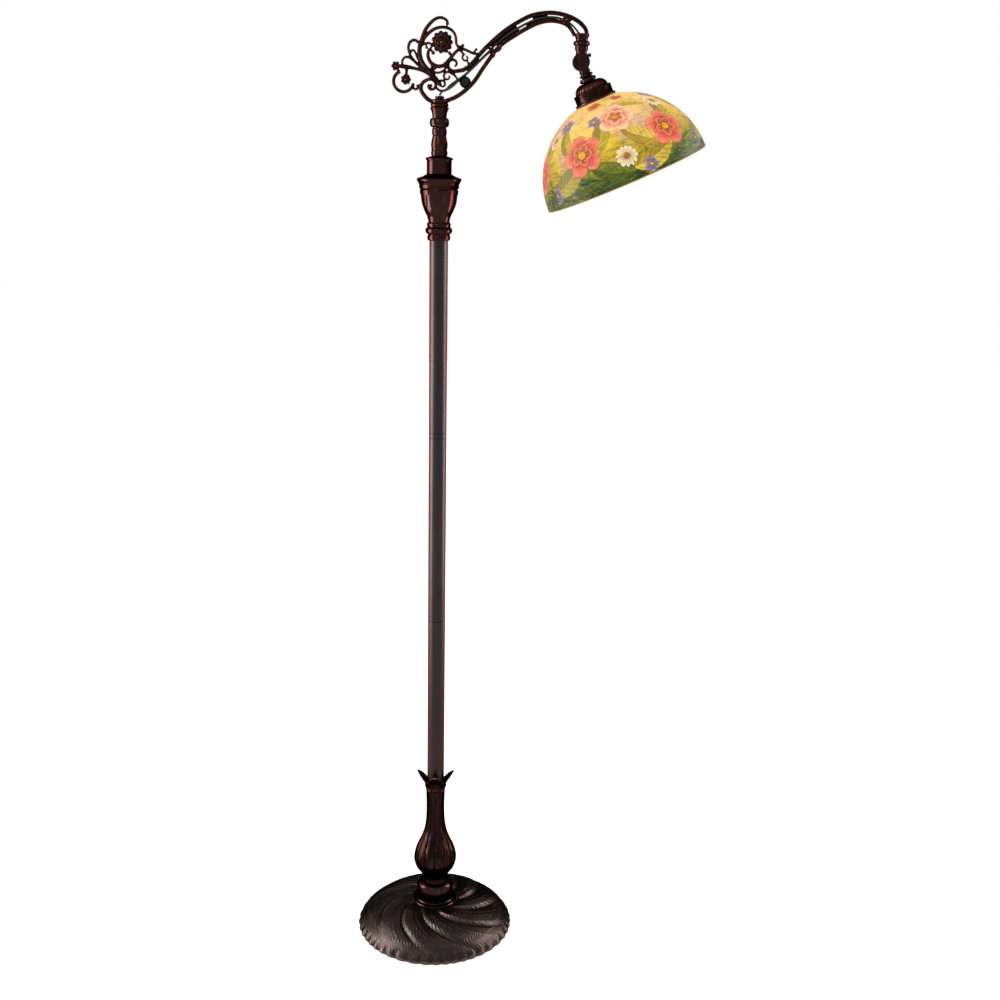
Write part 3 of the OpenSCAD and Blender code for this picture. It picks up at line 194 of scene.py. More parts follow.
def new_group(name, inputs, outputs):
    """An empty node group, the signals that it is given and the sockets of its results."""
    made = bpy.data.node_groups.new(name, "ShaderNodeTree")
    for label, kind, value in inputs:
        socket = made.interface.new_socket(label, in_out="INPUT", socket_type=kind)
        socket.default_value = value
    for label, kind in outputs:
        made.interface.new_socket(label, in_out="OUTPUT", socket_type=kind)
    given = signals(made.nodes.new("NodeGroupInput").outputs)
    return made, given, made.nodes.new("NodeGroupOutput").inputs


def placed(tree, group, inputs):
    """What a group gives where it is put into a tree."""
    return signals(node(tree, "ShaderNodeGroup", inputs, node_tree=group).outputs)


def principled(name):
    made = bpy.data.materials.new(name)
    made.use_nodes = True
    tree = made.node_tree
    tree.nodes.clear()
    out = tree.nodes.new("ShaderNodeOutputMaterial")
    shader = tree.nodes.new("ShaderNodeBsdfPrincipled")
    tree.links.new(shader.outputs[0], out.inputs[0])
    return made, tree, shader


def feed(shader, **inputs):
    """Connects the shader's inputs; an underscore stands for a space in an input's name."""
    connect(shader.inputs, {name.replace("_", " "): value for name, value in inputs.items()})


# %% [markdown]
# ## Finishes: aged bronze
# The castings are dipped in a nearly black bronze lacquer and rubbed back by hand, so that
# red copper shows on raised edges while hollows stay black. One group makes that for every
# metal piece: it takes a `Wear` value (stored on the new meshes), a dark and a rubbed
# colour, and gives a colour, a roughness and a height for a bump.

# %% Aged bronze group


def make_aged():
    group, given, result = new_group("aged_metal", [
        ("Dark", COLOUR, (0.02, 0.01, 0.008, 1)), ("Rubbed", COLOUR, (0.2, 0.08, 0.05, 1)),
        ("Wear", NUMBER, 0.5), ("Amount", NUMBER, 1.0),
        ("Polish", NUMBER, 0.3), ("Grain", NUMBER, 1.0)],
        [("Colour", COLOUR), ("Roughness", NUMBER), ("Height", NUMBER)])
    black, dust = (0.006, 0.004, 0.004, 1), (0.03, 0.034, 0.036, 1)
    at = object_point(group)
    cloud = noise(group, at, 34.0, 5.0, 0.6)
    streak = noise(group, stretched(group, at, (60, 60, 9)), 3.0, 4.0, 0.6)
    pores = noise(group, at, 1400.0, 3.0, 0.6)
    handled = given["Wear"] + (cloud - 0.5) * 0.35
    edge = sums(group, "MULTIPLY", remap(group, handled, 0.56, 0.9), given["Amount"], clamp=True)
    hollow = remap(group, handled, 0.44, 0.2)
    dusty = remap(group, streak, 0.5, 0.72, 0.0, 0.35)
    cool = blend(group, dusty, given["Dark"], dust)
    colour = blend(group, hollow, blend(group, edge, cool, given["Rubbed"]), black)
    spread = (cloud - 0.5) * 0.3
    rough = sums(group, "ADD", given["Polish"] + spread, hollow * 0.3, clamp=True)
    height = (pores + cloud * 2.0) * given["Grain"]
    connect(result, {"Colour": colour, "Roughness": rough, "Height": height})
    return group


AGED = make_aged()


def bronze(name, dark, rubbed, edge, polish, worn=False, amount=1.0, grain=1.0):
    """A metal of dark reflections; `edge` is what it reflects where it turns away from the eye."""
    made, tree, shader = principled(name)
    wear = node(tree, "ShaderNodeAttribute", attribute_name="wear").outputs["Fac"] if worn else 0.5
    aged = placed(tree, AGED, {"Dark": dark, "Rubbed": rubbed, "Wear": wear, "Amount": amount,
                               "Polish": polish, "Grain": grain})
    bump = node(tree, "ShaderNodeBump", {"Height": aged["Height"], "Strength": 0.12,
            "Distance": 0.0003})
    feed(shader, Base_Color=aged["Colour"], Roughness=aged["Roughness"], Normal=bump.outputs[0],
         Metallic=1.0, Specular_Tint=edge)
    return made


CASTING = bronze("cast_bronze", seen(27, 14, 13), seen(108, 50, 38), seen(44, 28, 26), 0.24,
    worn=True)
BASE_METAL = bronze("sand_cast_bronze", seen(40, 33, 31), seen(86, 70, 64), seen(70, 62, 62),
    0.36, worn=True, grain=3.0)
TURNED = bronze("turned_bronze", seen(40, 23, 21), seen(92, 50, 42), seen(50, 32, 30), 0.18,
    amount=0.9)
print("aged group:", len(AGED.nodes), "nodes")

# %% [markdown]
# ## Finishes: pole
# The pole's tubes are rolled and lacquered, not cast. Square on they are blue-grey, and towards their sides the
# colour turns copper: a painted coppery sheen. Layer Weight knows how far a surface turns away from the eye, so it
# mixes the two; it stays in the material, outside any group.

# %% Pole finish


def make_pole():
    made, tree, shader = principled("lacquered_tube")
    at = object_point(tree)
    drawn = noise(tree, stretched(tree, at, (420, 420, 5)), 1.0, 4.0, 0.6)
    cloud = noise(tree, at, 20.0, 4.0)
    away = node(tree, "ShaderNodeLayerWeight", {"Blend": 0.35}).outputs["Facing"]
    turned = remap(tree, away, 0.25, 0.7)
    front = blend(tree, remap(tree, drawn, 0.35, 0.65), seen(34, 40, 43), seen(50, 38, 35))
    front = blend(tree, remap(tree, cloud, 0.4, 0.7, 0, 0.5), front, seen(42, 32, 31))
    # Painted sheen: the colour turns copper where the tube turns away from the eye.
    colour = blend(tree, turned, front, seen(104, 60, 50))
    rough = remap(tree, drawn, 0.3, 0.7, 0.3, 0.42)
    bump = node(tree, "ShaderNodeBump", {"Height": drawn, "Strength": 0.06, "Distance": 0.0002})
    feed(shader, Base_Color=colour, Roughness=rough, Metallic=1.0, Normal=bump.outputs[0],
         Specular_Tint=seen(170, 100, 84))
    return made


POLE = make_pole()

# %% [markdown]
# ## Finishes: small parts
# Each small part keeps its own surface: brushed brass for the socket, zinc-plated steel for
# pipes and nuts, cast iron, glazed ceramic, black rubber and moulded plastic, a dark wire
# cover and pressed felt. One recipe serves them all: plain noise at the size of each grain.

# %% Small parts


def surface(name, tones, grain, polish, metal=0.0, stretch=(1, 1, 1), bump=0.1, depth=0.0002,
        coat=0.0, detail=4.0, shine=0.5):
    """A plain finish: noise between two tones, a varied roughness and a bump."""
    made, tree, shader = principled(name)
    at = stretched(tree, object_point(tree), stretch)
    fine = noise(tree, at, grain, detail, 0.6)
    broad = noise(tree, at, grain / 12, 3.0)
    colour = blend(tree, remap(tree, fine, 0.3, 0.7), tones[0], tones[1])
    colour = blend(tree, remap(tree, broad, 0.45, 0.8, 0, 0.3), colour,
            tuple(c * 0.7 for c in tones[0][:3]) + (1,))
    rough = remap(tree, broad, 0.3, 0.7, polish - 0.05, polish + 0.08)
    lift = node(tree, "ShaderNodeBump", {"Height": fine, "Strength": bump, "Distance": depth})
    feed(shader, Base_Color=colour, Roughness=rough, Normal=lift.outputs[0], Metallic=metal,
            Coat_Weight=coat, Coat_Roughness=0.1, Specular_IOR_Level=shine)
    return made


BRASS = surface("brushed_brass", (seen(205, 168, 96), seen(222, 190, 122)), 400, 0.28, 1.0,
    (1, 1, 0.08))
STEEL = surface("zinc_steel", (seen(150, 152, 155), seen(178, 180, 182)), 500, 0.32, 1.0)
IRON = surface("cast_iron", (seen(62, 62, 64), seen(80, 80, 82)), 700, 0.62, 0.6, bump=0.5,
    depth=0.0005)
CERAMIC = surface("glazed_ceramic", (seen(232, 228, 218), seen(240, 238, 230)), 180, 0.16,
    coat=0.6, bump=0.03)
RUBBER = surface("black_rubber", (seen(18, 18, 19), seen(26, 25, 25)), 900, 0.62, bump=0.2,
    shine=0.2)
PLASTIC = surface("moulded_plastic", (seen(8, 8, 9), seen(14, 13, 13)), 1200, 0.3, shine=0.16)
WIRE = surface("wire_cover", (seen(12, 22, 24), seen(22, 32, 34)), 1500, 0.36,
    stretch=(1, 1, 0.3), bump=0.3, shine=0.3)
FELT = surface("pressed_felt", (seen(40, 36, 36), seen(62, 56, 54)), 2600, 0.95, bump=0.9,
    depth=0.0008, detail=8.0)
print(len(bpy.data.materials), "finishes so far")

# %% [markdown]
# ## Finishes: painted glass
# The shade is blown frosted glass, painted on the outside. Its glow from within is painted too: the glass's own
# emission stands in for the bulb's light and grows warmer towards the top. An image would be the usual way; here
# the whole painting is drawn with nodes instead. Three groups do it: one turns a point on the dome into flat
# coordinates round a motif, one draws a blossom and one draws a leaf. The design is a generic one: open five-petal
# blossoms, daisies, small violet blossoms and slender leaves, over a ground that runs from cream at the top to
# deep green at the rim.

# %% Painting: coordinates on the dome
DOME_CENTRE = Vector((0.28393, 0, 1.28572))
DOME_R = 0.127
UPRIGHT = Matrix.Rotation(SHADE_TILT, 3, "Y")


def on_dome(longitude, latitude):
    """The direction of a place on the dome, in the shade's own upright frame."""
    a, b = math.radians(longitude), math.radians(latitude)
    return Vector((math.cos(b) * math.cos(a), math.cos(b) * math.sin(a), math.sin(b)))


def vector_math(tree, operation, a, b=(0, 0, 0)):
    return node(tree, "ShaderNodeVectorMath", {0: a, 1: b}, operation=operation)


def make_local():
    """Flat coordinates round a motif: X along its stem, Y across, Front to hide the far side."""
    group, given, result = new_group("motif_place", [
        ("Direction", VECTOR, (0, 0, 1)), ("Centre", VECTOR, (0, -1, 0)),
        ("Along", VECTOR, (1, 0, 0)), ("Size", NUMBER, 0.2)],
        [("X", NUMBER), ("Y", NUMBER), ("Front", NUMBER)])
    side = vector_math(group, "CROSS_PRODUCT", given["Centre"], given["Along"]).outputs[0]
    along = vector_math(group, "DOT_PRODUCT", given["Direction"], given["Along"]).outputs["Value"]
    across = vector_math(group, "DOT_PRODUCT", given["Direction"], side).outputs["Value"]
    facing = vector_math(group, "DOT_PRODUCT", given["Direction"],
            given["Centre"]).outputs["Value"]
    connect(result, {"X": along / given["Size"], "Y": across / given["Size"],
                     "Front": remap(group, facing, 0.5, 0.6)})
    return group


LOCAL = make_local()


# %% Painting: blossom and leaf groups


def make_blossom():
    group, given, result = new_group("blossom", [
        ("X", NUMBER, 0.0), ("Y", NUMBER, 0.0), ("Front", NUMBER, 1.0),
        ("Petals", NUMBER, 5.0), ("Cut", NUMBER, 0.4), ("Wobble", NUMBER, 0.0),
        ("Under", COLOUR, grey(0.5)), ("Edge", COLOUR, grey(0.9)),
        ("Deep", COLOUR, grey(0.3)), ("Heart", COLOUR, grey(0.6))],
        [("Colour", COLOUR), ("Mask", NUMBER)])
    far = sums(group, "SQRT", abs(given["X"]) ** 2.0 + abs(given["Y"]) ** 2.0)
    turn = sums(group, "MULTIPLY_ADD", given["Wobble"], 0.5, sums(group, "ARCTAN2", given["Y"],
            given["X"]))
    wave = abs(sums(group, "COSINE", turn * (given["Petals"] * 0.5)))
    lobe = wave ** 0.55
    reach = 1.0 - given["Cut"] + lobe * given["Cut"]
    reach = sums(group, "MULTIPLY_ADD", given["Wobble"], 0.16, reach)
    near = reach - far
    mask = remap(group, near, 0.0, 0.05) * given["Front"]
    connect(result, {"Mask": mask})
    share = far / reach
    tone = blend(group, remap(group, share, 0.18, 0.62), given["Deep"],
                 blend(group, remap(group, share, 0.5, 0.98), given["Under"], given["Edge"]))
    gap = remap(group, wave, 0.34, 0.04) * remap(group, share, 0.95, 0.5, 0.35, 0.85)
    tone = blend(group, gap, tone, given["Deep"])
    vein = sums(group, "SINE", turn * 60.0)
    tone = blend(group, remap(group, vein, 0.2, 1.0) * remap(group, share, 0.25, 0.7, 0.3, 0.04),
            tone, given["Deep"])
    outline = remap(group, near, 0.1, 0.02) * 0.5
    tone = blend(group, outline, tone, given["Deep"])
    inner_wave = abs(sums(group, "SINE", turn * (given["Petals"] * 0.5)))
    inner_edge = sums(group, "MULTIPLY_ADD", inner_wave, 0.16, 0.4) - far
    tone = blend(group, remap(group, inner_edge, -0.05, 0.0) * 0.6, tone, given["Deep"])
    tone = blend(group, remap(group, inner_edge, 0.0, 0.04) * 0.8, tone,
            blend(group, remap(group, inner_edge, 0.3, 0.02), given["Deep"], given["Edge"]))
    dots = sums(group, "SINE", turn * 11.0)
    heart = remap(group, far + dots * 0.02, 0.2, 0.15)
    stamens = remap(group, dots, 0.55, 0.9) * (remap(group, far, 0.34, 0.3) * remap(group, far,
            0.2, 0.24))
    tone = blend(group, sums(group, "MAXIMUM", heart, stamens), tone, given["Heart"])
    connect(result, {"Colour": tone})
    return group


def make_leaf():
    group, given, result = new_group("leaf", [
        ("X", NUMBER, 0.0), ("Y", NUMBER, 0.0), ("Front", NUMBER, 1.0),
        ("Slim", NUMBER, 0.4), ("Bend", NUMBER, 0.2), ("Wobble", NUMBER, 0.0),
        ("Light", COLOUR, grey(0.8)), ("Dark", COLOUR, grey(0.3))],
        [("Colour", COLOUR), ("Mask", NUMBER)])
    along = given["X"] * 0.5 + 0.5
    middle = given["X"] * given["X"] * given["Bend"]
    off = given["Y"] - middle
    width = given["Slim"] * sums(group, "SINE", sums(group, "MAXIMUM", along, 0.0) ** 0.8
            * math.pi) ** 0.75
    width = sums(group, "MULTIPLY_ADD", given["Wobble"], 0.07, width)
    near = width - abs(off)
    ends = remap(group, given["X"], -1.0, -0.97) * remap(group, given["X"], 1.0, 0.97)
    mask = remap(group, near, 0.0, 0.04) * ends * given["Front"]
    connect(result, {"Mask": mask})
    half = remap(group, off, -0.05, 0.06)
    tone = blend(group, half * 0.45 + remap(group, given["X"], -1, 1, 0.0, 0.3), given["Light"],
            given["Dark"])
    rays = sums(group, "SINE", (given["X"] - abs(off) * 1.1) * 26.0)
    tone = blend(group, remap(group, rays, 0.5, 1.0, 0, 0.45), tone, given["Dark"])
    rib = remap(group, abs(off), 0.035, 0.012)
    tone = blend(group, rib * 0.75, tone, given["Light"])
    tone = blend(group, remap(group, near, 0.07, 0.0, 0, 0.5), tone, given["Dark"])
    connect(result, {"Colour": tone})
    return group


BLOSSOM, LEAF = make_blossom(), make_leaf()
print("painting groups:", len(LOCAL.nodes), len(BLOSSOM.nodes), len(LEAF.nodes), "nodes")

# %% Painting: the motifs of one third of the dome
CORAL = {"Under": seen(220, 92, 86), "Edge": seen(238, 150, 128), "Deep": seen(160, 34, 44),
    "Heart": seen(226, 172, 60)}
BLUSH = {"Under": seen(228, 150, 128), "Edge": seen(246, 214, 190), "Deep": seen(186, 62, 66),
    "Heart": seen(206, 140, 44)}
DAISY = {"Under": seen(228, 204, 166), "Edge": seen(242, 228, 198), "Deep": seen(160, 122, 92),
    "Heart": seen(196, 116, 30)}
VIOLET = {"Under": seen(116, 108, 152), "Edge": seen(168, 158, 182), "Deep": seen(58, 50, 98),
    "Heart": seen(222, 180, 70)}
SCARLET = {"Under": seen(204, 80, 54), "Edge": seen(224, 128, 86), "Deep": seen(140, 38, 30),
    "Heart": seen(186, 84, 46)}
GOLD = {"Light": seen(232, 204, 104), "Dark": seen(126, 96, 22)}
GREEN = {"Light": seen(128, 138, 58), "Dark": seen(48, 70, 38)}
OLIVE = {"Light": seen(196, 178, 80), "Dark": seen(86, 88, 30)}
# Leaves: longitude, latitude, heading, half length in degrees, slimness, bend, tones
LEAVES = [(-132, 16, 30, 19, 0.42, 0.25, OLIVE), (-103, 12, 150, 17, 0.4, -0.25, GREEN),
          (-100, 38, 70, 17, 0.38, 0.25, OLIVE), (-68, 10, 15, 18, 0.42, 0.2, GOLD),
          (-74, 27, 135, 16, 0.42, -0.25, GOLD), (-40, 38, 75, 16, 0.38, 0.25, OLIVE),
          (-136, 42, 110, 14, 0.36, -0.25, OLIVE), (-62, 57, 155, 14, 0.36, 0.25, GOLD)]
# Blossoms: longitude, latitude, radius in degrees, petals, cut, tones
BLOSSOMS = [(-119, 29, 15, 5, 0.34, CORAL), (-83, 47, 13, 5, 0.32, BLUSH),
    (-51, 25, 14.5, 5, 0.34, CORAL), (-88, 17, 7.4, 12, 0.3, DAISY),
    (-141, 56, 6, 5, 0.4, VIOLET), (-102, 67, 5, 5, 0.4, SCARLET), (-75, 6, 5.4, 5, 0.42, VIOLET),
    (-34, 47, 7, 12, 0.3, DAISY), (-104, 50, 5, 5, 0.42, VIOLET), (-60, 67, 4.4, 5, 0.4, SCARLET),
    (-148, 9, 6, 5, 0.4, VIOLET)]


def third_of(tree, direction):
    """The dome's direction turned back into its front third, and its height from the rim up."""
    x, y, up = node(tree, "ShaderNodeSeparateXYZ", {0: direction}).outputs
    up = Signal(up)
    begin, period = math.radians(150), 2 * math.pi / 3
    angle = sums(tree, "FLOORED_MODULO", sums(tree, "ARCTAN2", y, x) + begin, period) - begin
    flat = sums(tree, "SQRT", sums(tree, "SUBTRACT", 1.0, up * up, clamp=True))
    made = node(tree, "ShaderNodeCombineXYZ", {0: flat * sums(tree, "COSINE", angle),
                                               1: flat * sums(tree, "SINE", angle), 2: up})
    return made.outputs[0], up


def motif(tree, direction, longitude, latitude, heading, size):
    centre = on_dome(longitude, latitude)
    east = Vector((0, 0, 1)).cross(centre).normalized()
    north = centre.cross(east)
    along = east * math.cos(math.radians(heading)) + north * math.sin(math.radians(heading))
    return placed(tree, LOCAL, {"Direction": direction, "Centre": centre, "Along": along,
                                "Size": math.sin(math.radians(size))})


def lay(tree, below, drawn, strength):
    """A blossom or a leaf laid over the paint below it."""
    return blend(tree, drawn["Mask"] * strength, below, drawn["Colour"])


# %% Painting: ground, motifs and glass


def make_shade():
    made, tree, shader = principled("painted_glass")
    at = object_point(tree)
    back = -(UPRIGHT @ DOME_CENTRE)
    local = stretched(tree, at, (1, 1, 1), (0, SHADE_TILT, 0), back)
    depth = vector_math(tree, "LENGTH", local).outputs["Value"]
    upright = vector_math(tree, "NORMALIZE", local).outputs[0]
    direction, up = third_of(tree, upright)
    ripple = node(tree, "ShaderNodeTexNoise", {"Vector": upright, "Scale": 16.0,
            "Detail": 5.0}).outputs["Color"]
    shaken = vector_math(tree, "SUBTRACT", ripple, (0.5, 0.5, 0.5)).outputs[0]
    shaken = node(tree, "ShaderNodeVectorMath", {0: shaken, "Scale": 0.03},
            operation="SCALE").outputs[0]
    direction = vector_math(tree, "ADD", direction, shaken).outputs[0]
    brush = noise(tree, stretched(tree, upright, (2.2, 2.2, 6), (0.4, 0.7, 0.2)), 2.2, 6.0, 0.62,
            1.6)
    strokes = noise(tree, stretched(tree, upright, (3.2, 3.2, 9), (0.5, -0.5, 0)), 1.3, 5.0, 0.62,
            2.4)
    wobble = noise(tree, upright, 9.0, 4.0) - 0.5
    height = up + (brush - 0.5) * 0.6
    height = height + (strokes - 0.5) * 0.2
    ground = ramp(tree, height, [(0.0, seen(66, 90, 54)), (0.14, seen(90, 110, 56)),
            (0.26, seen(142, 140, 54)), (0.38, seen(192, 168, 58)), (0.54, seen(222, 194, 78)),
            (0.7, seen(236, 204, 124)), (0.86, seen(240, 204, 138)), (1.0, seen(238, 196, 124))])
    misty = noise(tree, upright, 1.6, 3.0)
    mist = remap(tree, misty, 0.48, 0.62) * remap(tree, up, 0.25, 0.6, 0, 0.8)
    ground = blend(tree, mist, ground, seen(212, 176, 160))
    sunny = remap(tree, strokes, 0.5, 0.68) * remap(tree, up, 0.8, 0.25, 0, 0.6)
    ground = blend(tree, sunny, ground, seen(206, 172, 48))
    shadowy = remap(tree, brush, 0.52, 0.34) * remap(tree, up, 0.55, 0.1, 0, 0.8)
    paint = blend(tree, shadowy, ground, seen(46, 72, 50))
    for longitude, latitude, heading, size, slim, bend, tones in LEAVES:
        place = motif(tree, direction, longitude, latitude, heading, size)
        leaf = placed(tree, LEAF, {**place, "Slim": slim, "Bend": bend, "Wobble": wobble, **tones})
        paint = lay(tree, paint, leaf, 0.88)
    for longitude, latitude, size, petals, cut, tones in BLOSSOMS:
        place = motif(tree, direction, longitude, latitude, longitude * 7 % 360, size)
        blossom = placed(tree, BLOSSOM, {**place, "Petals": float(petals), "Cut": cut,
                                         "Wobble": wobble, **tones})
        paint = lay(tree, paint, blossom, 0.94)
    daub = noise(tree, stretched(tree, upright, (8, 8, 24), (0.5, -0.4, 0)), 1.0, 3.0, 0.5, 1.2)
    paint = blend(tree, remap(tree, daub, 0.5, 0.68, 0.0, 0.6), paint, seen(246, 214, 130),
            "SOFT_LIGHT")
    paint = blend(tree, remap(tree, daub, 0.5, 0.32, 0.0, 0.35), paint, seen(170, 150, 100),
            "MULTIPLY")
    paint = node(tree, "ShaderNodeGamma", {0: paint, 1: 1.22}).outputs[0]
    rim = remap(tree, up, 0.014, 0.009)
    paint = blend(tree, rim, paint, seen(160, 112, 30))
    inner = remap(tree, depth, DOME_R - 0.0012, DOME_R - 0.0022)
    frosted = blend(tree, 0.28, seen(250, 236, 206), paint)
    colour = blend(tree, inner, paint, frosted)
    # Painted glow: the glass's own emission stands in for the bulb's light through it, tinted warmer towards the
    # top.
    painted_glow_tint = blend(tree, 0.25, colour, seen(255, 214, 140))
    painted_glow = blend(tree, remap(tree, up, 0.1, 0.9), colour, painted_glow_tint)
    bump = node(tree, "ShaderNodeBump", {"Height": noise(tree, at, 900.0, 3.0), "Strength": 0.08,
            "Distance": 0.0002})
    feed(shader, Base_Color=colour, Roughness=remap(tree, daub, 0.3, 0.7, 0.4, 0.5),
            Emission_Color=painted_glow, Emission_Strength=0.4, Normal=bump.outputs[0],
            Specular_IOR_Level=0.06)
    return made


SHADE = make_shade()
print("painted glass:", len(SHADE.node_tree.nodes), "nodes")

# %% Bulb


def make_bulb():
    made, tree, shader = principled("opal_bulb")
    at = object_point(tree)
    cloud = noise(tree, at, 60.0, 3.0)
    tint = blend(tree, remap(tree, cloud, 0.3, 0.7), seen(250, 244, 228), seen(252, 236, 204))
    feed(shader, Base_Color=tint, Roughness=remap(tree, cloud, 0.3, 0.7, 0.2, 0.28),
            Emission_Color=tint, Emission_Strength=0.5, Coat_Weight=0.4)
    return made


BULB = make_bulb()

# %% Which finish goes where
LOOKS = {
    "bronze_casting": TURNED, "pole_finish": POLE, "switch_black": PLASTIC, "rubber": RUBBER,
    "wire_cover": WIRE, "felt": FELT, "socket_brass": BRASS, "steel": STEEL, "bulb_metal": STEEL,
    "iron_weight": IRON, "ceramic": CERAMIC, "painted_glass": SHADE, "bulb_white": BULB,
}
for part in frame["record"]["subparts"]:
    mesh = NODES[part["node"]].data
    mesh.materials.clear()
    mesh.materials.append(LOOKS[part["material_slot"]])

# %% [markdown]
# ## Meshes: helpers
# Five pieces get a finer mesh than their solid. Each new mesh takes the solid's place and moves with the same
# body. Bronze is rubbed bright where hands and cloths reach it, so each point also stores how far it stands proud
# of those around it.

# %% Mesh helpers


def as_mesh(name, shape):
    """Turns what was built with bmesh into a mesh."""
    mesh = bpy.data.meshes.new(name)
    shape.to_mesh(mesh)
    shape.free()
    return mesh


def points_of(mesh):
    at = np.zeros(len(mesh.vertices) * 3)
    mesh.vertices.foreach_get("co", at)
    return at.reshape(-1, 3)


def put_points(mesh, at):
    mesh.vertices.foreach_set("co", at.ravel())
    mesh.update()


def show(name, mesh, material, node_name, body="stand"):
    """Puts a finished mesh in the place of one CAD node."""
    for face in mesh.polygons:
        face.use_smooth = True
    mesh.materials.append(material)
    made = bpy.data.objects.new(name, mesh)
    bpy.context.scene.collection.objects.link(made)
    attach(made, body)
    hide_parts(node_name)
    at, (low, high) = points_of(mesh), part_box(node_name)
    print(name, len(mesh.polygons), "faces, from", (at.min(0) / MM).round(1), "to",
            (at.max(0) / MM).round(1), "- solid from", [round(v / MM, 1) for v in low], "to",
            [round(v / MM, 1) for v in high])


def mark_wear(mesh, reach, share=1.0):
    """Stores how far each point stands proud of its neighbours: 0 in a hollow, 1 on an edge."""
    count = len(mesh.vertices)
    at, out = points_of(mesh), np.zeros(count * 3)
    mesh.vertices.foreach_get("normal", out)
    out = out.reshape(-1, 3)
    pairs = np.zeros(len(mesh.edges) * 2, np.int64)
    mesh.edges.foreach_get("vertices", pairs)
    pairs = pairs.reshape(-1, 2)
    ends = np.concatenate([pairs, pairs[:, ::-1]])
    number = np.maximum(np.bincount(ends[:, 0], minlength=count), 1)[:, None]

    def average(values):
        return np.stack([np.bincount(ends[:, 0], values[ends[:, 1], k], count)
                         for k in range(values.shape[1])], 1) / number

    around = at
    for _ in range(6):
        around = average(around)
    proud = ((at - around) * out).sum(1)[:, None] / reach
    for _ in range(2):
        proud = average(proud)
    wear = mesh.attributes.new("wear", "FLOAT", "POINT")
    wear.data.foreach_set("value", np.clip(proud[:, 0] * share * 0.5 + 0.5, 0,
            1).astype(np.float32))


# %% [markdown]
# ## Arm: an openwork casting
# The real arm is one casting: two rails, scrolls, stems and flowers that ran together as
# molten metal. It could be modelled face by face, but its joints would then look glued.
# Here each stroke is a curve swept with an oval, everything is thrown into one mesh, and a voxel remesh fuses it
# with soft inner corners, as a mould does. A stroke's points are listed as in the solids: across, up and half
# width, in millimetres.

# %% Arm: paths
ARM_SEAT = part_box("arm_casting")[0].z
RAIL = 3.2
VOXEL, RELAX_ROUNDS = 0.62 * MM, 5
STROKES = []


def flowing(points, steps=6):
    """A smooth path through given points."""
    p = np.array(points, float)
    p = np.vstack([p[:1], p, p[-1:]])
    path = []
    for a, b, c, d in zip(p[:-3], p[1:-2], p[2:-1], p[3:]):
        for t in np.linspace(0, 1, steps, endpoint=False):
            path.append(0.5 * (2 * b + (c - a) * t + (2 * a - 5 * b + 4 * c - d) * t * t
                               + (3 * b - a - 3 * c + d) * t**3))
    return np.array(path + [p[-2]])


def curl(centre, radii, angles, widths, steps=30):
    """A path that winds round a centre."""
    f = np.linspace(0, 1, steps)
    r = radii[0] + (radii[1] - radii[0]) * f
    a = np.radians(angles[0] + (angles[1] - angles[0]) * f)
    w = widths[0] + (widths[1] - widths[0]) * f
    return np.stack([centre[0] + r * np.cos(a), centre[1] + r * np.sin(a), w], 1)


def stroke(path, depth=0.0, back=0.0, groove=0.0):
    """Keeps one stroke: its path, half depth, distance behind the middle and front groove."""
    STROKES.append((np.array(path, float), depth, back, groove))


# %% Arm: the two rails and what runs between them
upper_rail = np.vstack([curl((20.4, 61.6), (3, 10.3), (-430, -76), (1.5, 2.8)),
    flowing([[34.2, 53.4, RAIL], [43.6, 59, RAIL], [53, 69, RAIL], [62, 79.5, RAIL],
    [72, 89.5, RAIL], [85.6, 101.9, RAIL], [100.4, 113.3, RAIL], [115.3, 122.4, RAIL],
    [133.1, 131.3, RAIL], [151, 135.2, RAIL], [166, 136, RAIL], [181.6, 133.8, RAIL],
    [195.8, 129, RAIL], [207.4, 122, RAIL], [215, 113.4, 3], [216.6, 104.4, 2.8]])])
lower_rail = flowing([[8, 8.6, 3.4], [14, 10.8, RAIL], [24.6, 15.4, RAIL], [38, 24.6, RAIL],
    [51.2, 37.8, RAIL], [62.2, 53.9, RAIL], [72, 67.8, RAIL], [81.5, 80.8, RAIL],
    [94.4, 93.2, RAIL], [111, 104, RAIL], [128.6, 114.2, RAIL], [145.6, 122, RAIL],
    [163.4, 125.2, RAIL], [180, 122.9, RAIL], [190.5, 117, 3], [199, 104.6, 2.8]])
stroke(upper_rail, 4.3, groove=0.3)
stroke(lower_rail, 4.3, groove=0.3)
stroke(flowing([[84, 89, 1.4], [104, 107, 1.5], [119, 115.8, 1.5], [136, 124.6, 1.5],
    [152, 129.2, 1.5], [164, 130.4, 1.5], [172, 129.8, 1.4]]), 1.3, 3)
for web in ([[76, 87, 4], [88, 98.5, 4], [101, 108.5, 4], [113, 116.5, 3.6]],
            [[136, 128.2, 3], [148, 132.2, 3], [158, 133.2, 3]],
            [[128, 116.8, 4], [145.6, 125, 4], [162, 127.4, 4], [172, 126.6, 3]],
            [[94, 97, 3], [105, 104.6, 4], [117, 111.4, 4]]):
    stroke(flowing(web), 1.1, 3)
stroke(flowing([[8.5, 23.5, 1], [13, 27.6, 2.8], [19.5, 32.8, 3.2], [27, 38.8, 2.5],
    [37, 46.4, 2.1], [47, 55.4, 2.1], [58, 66, 2.1], [69, 76.6, 2.2], [79, 84.5, 2.2]]), 1.9, 2.2)
stroke(flowing([[59, 77, 1.6], [66, 83.6, 2], [72.4, 85.2, 2.1], [78.6, 81.6, 2.1],
    [80.6, 75.4, 1.9], [77.4, 71, 1.6]]), 1.5, -4.6)
stroke(flowing([[75, 84.4, 1.7], [81.2, 80.6, 1.8], [87, 81.6, 1.7], [91, 86, 1.5]]), 1.5, -4.6)

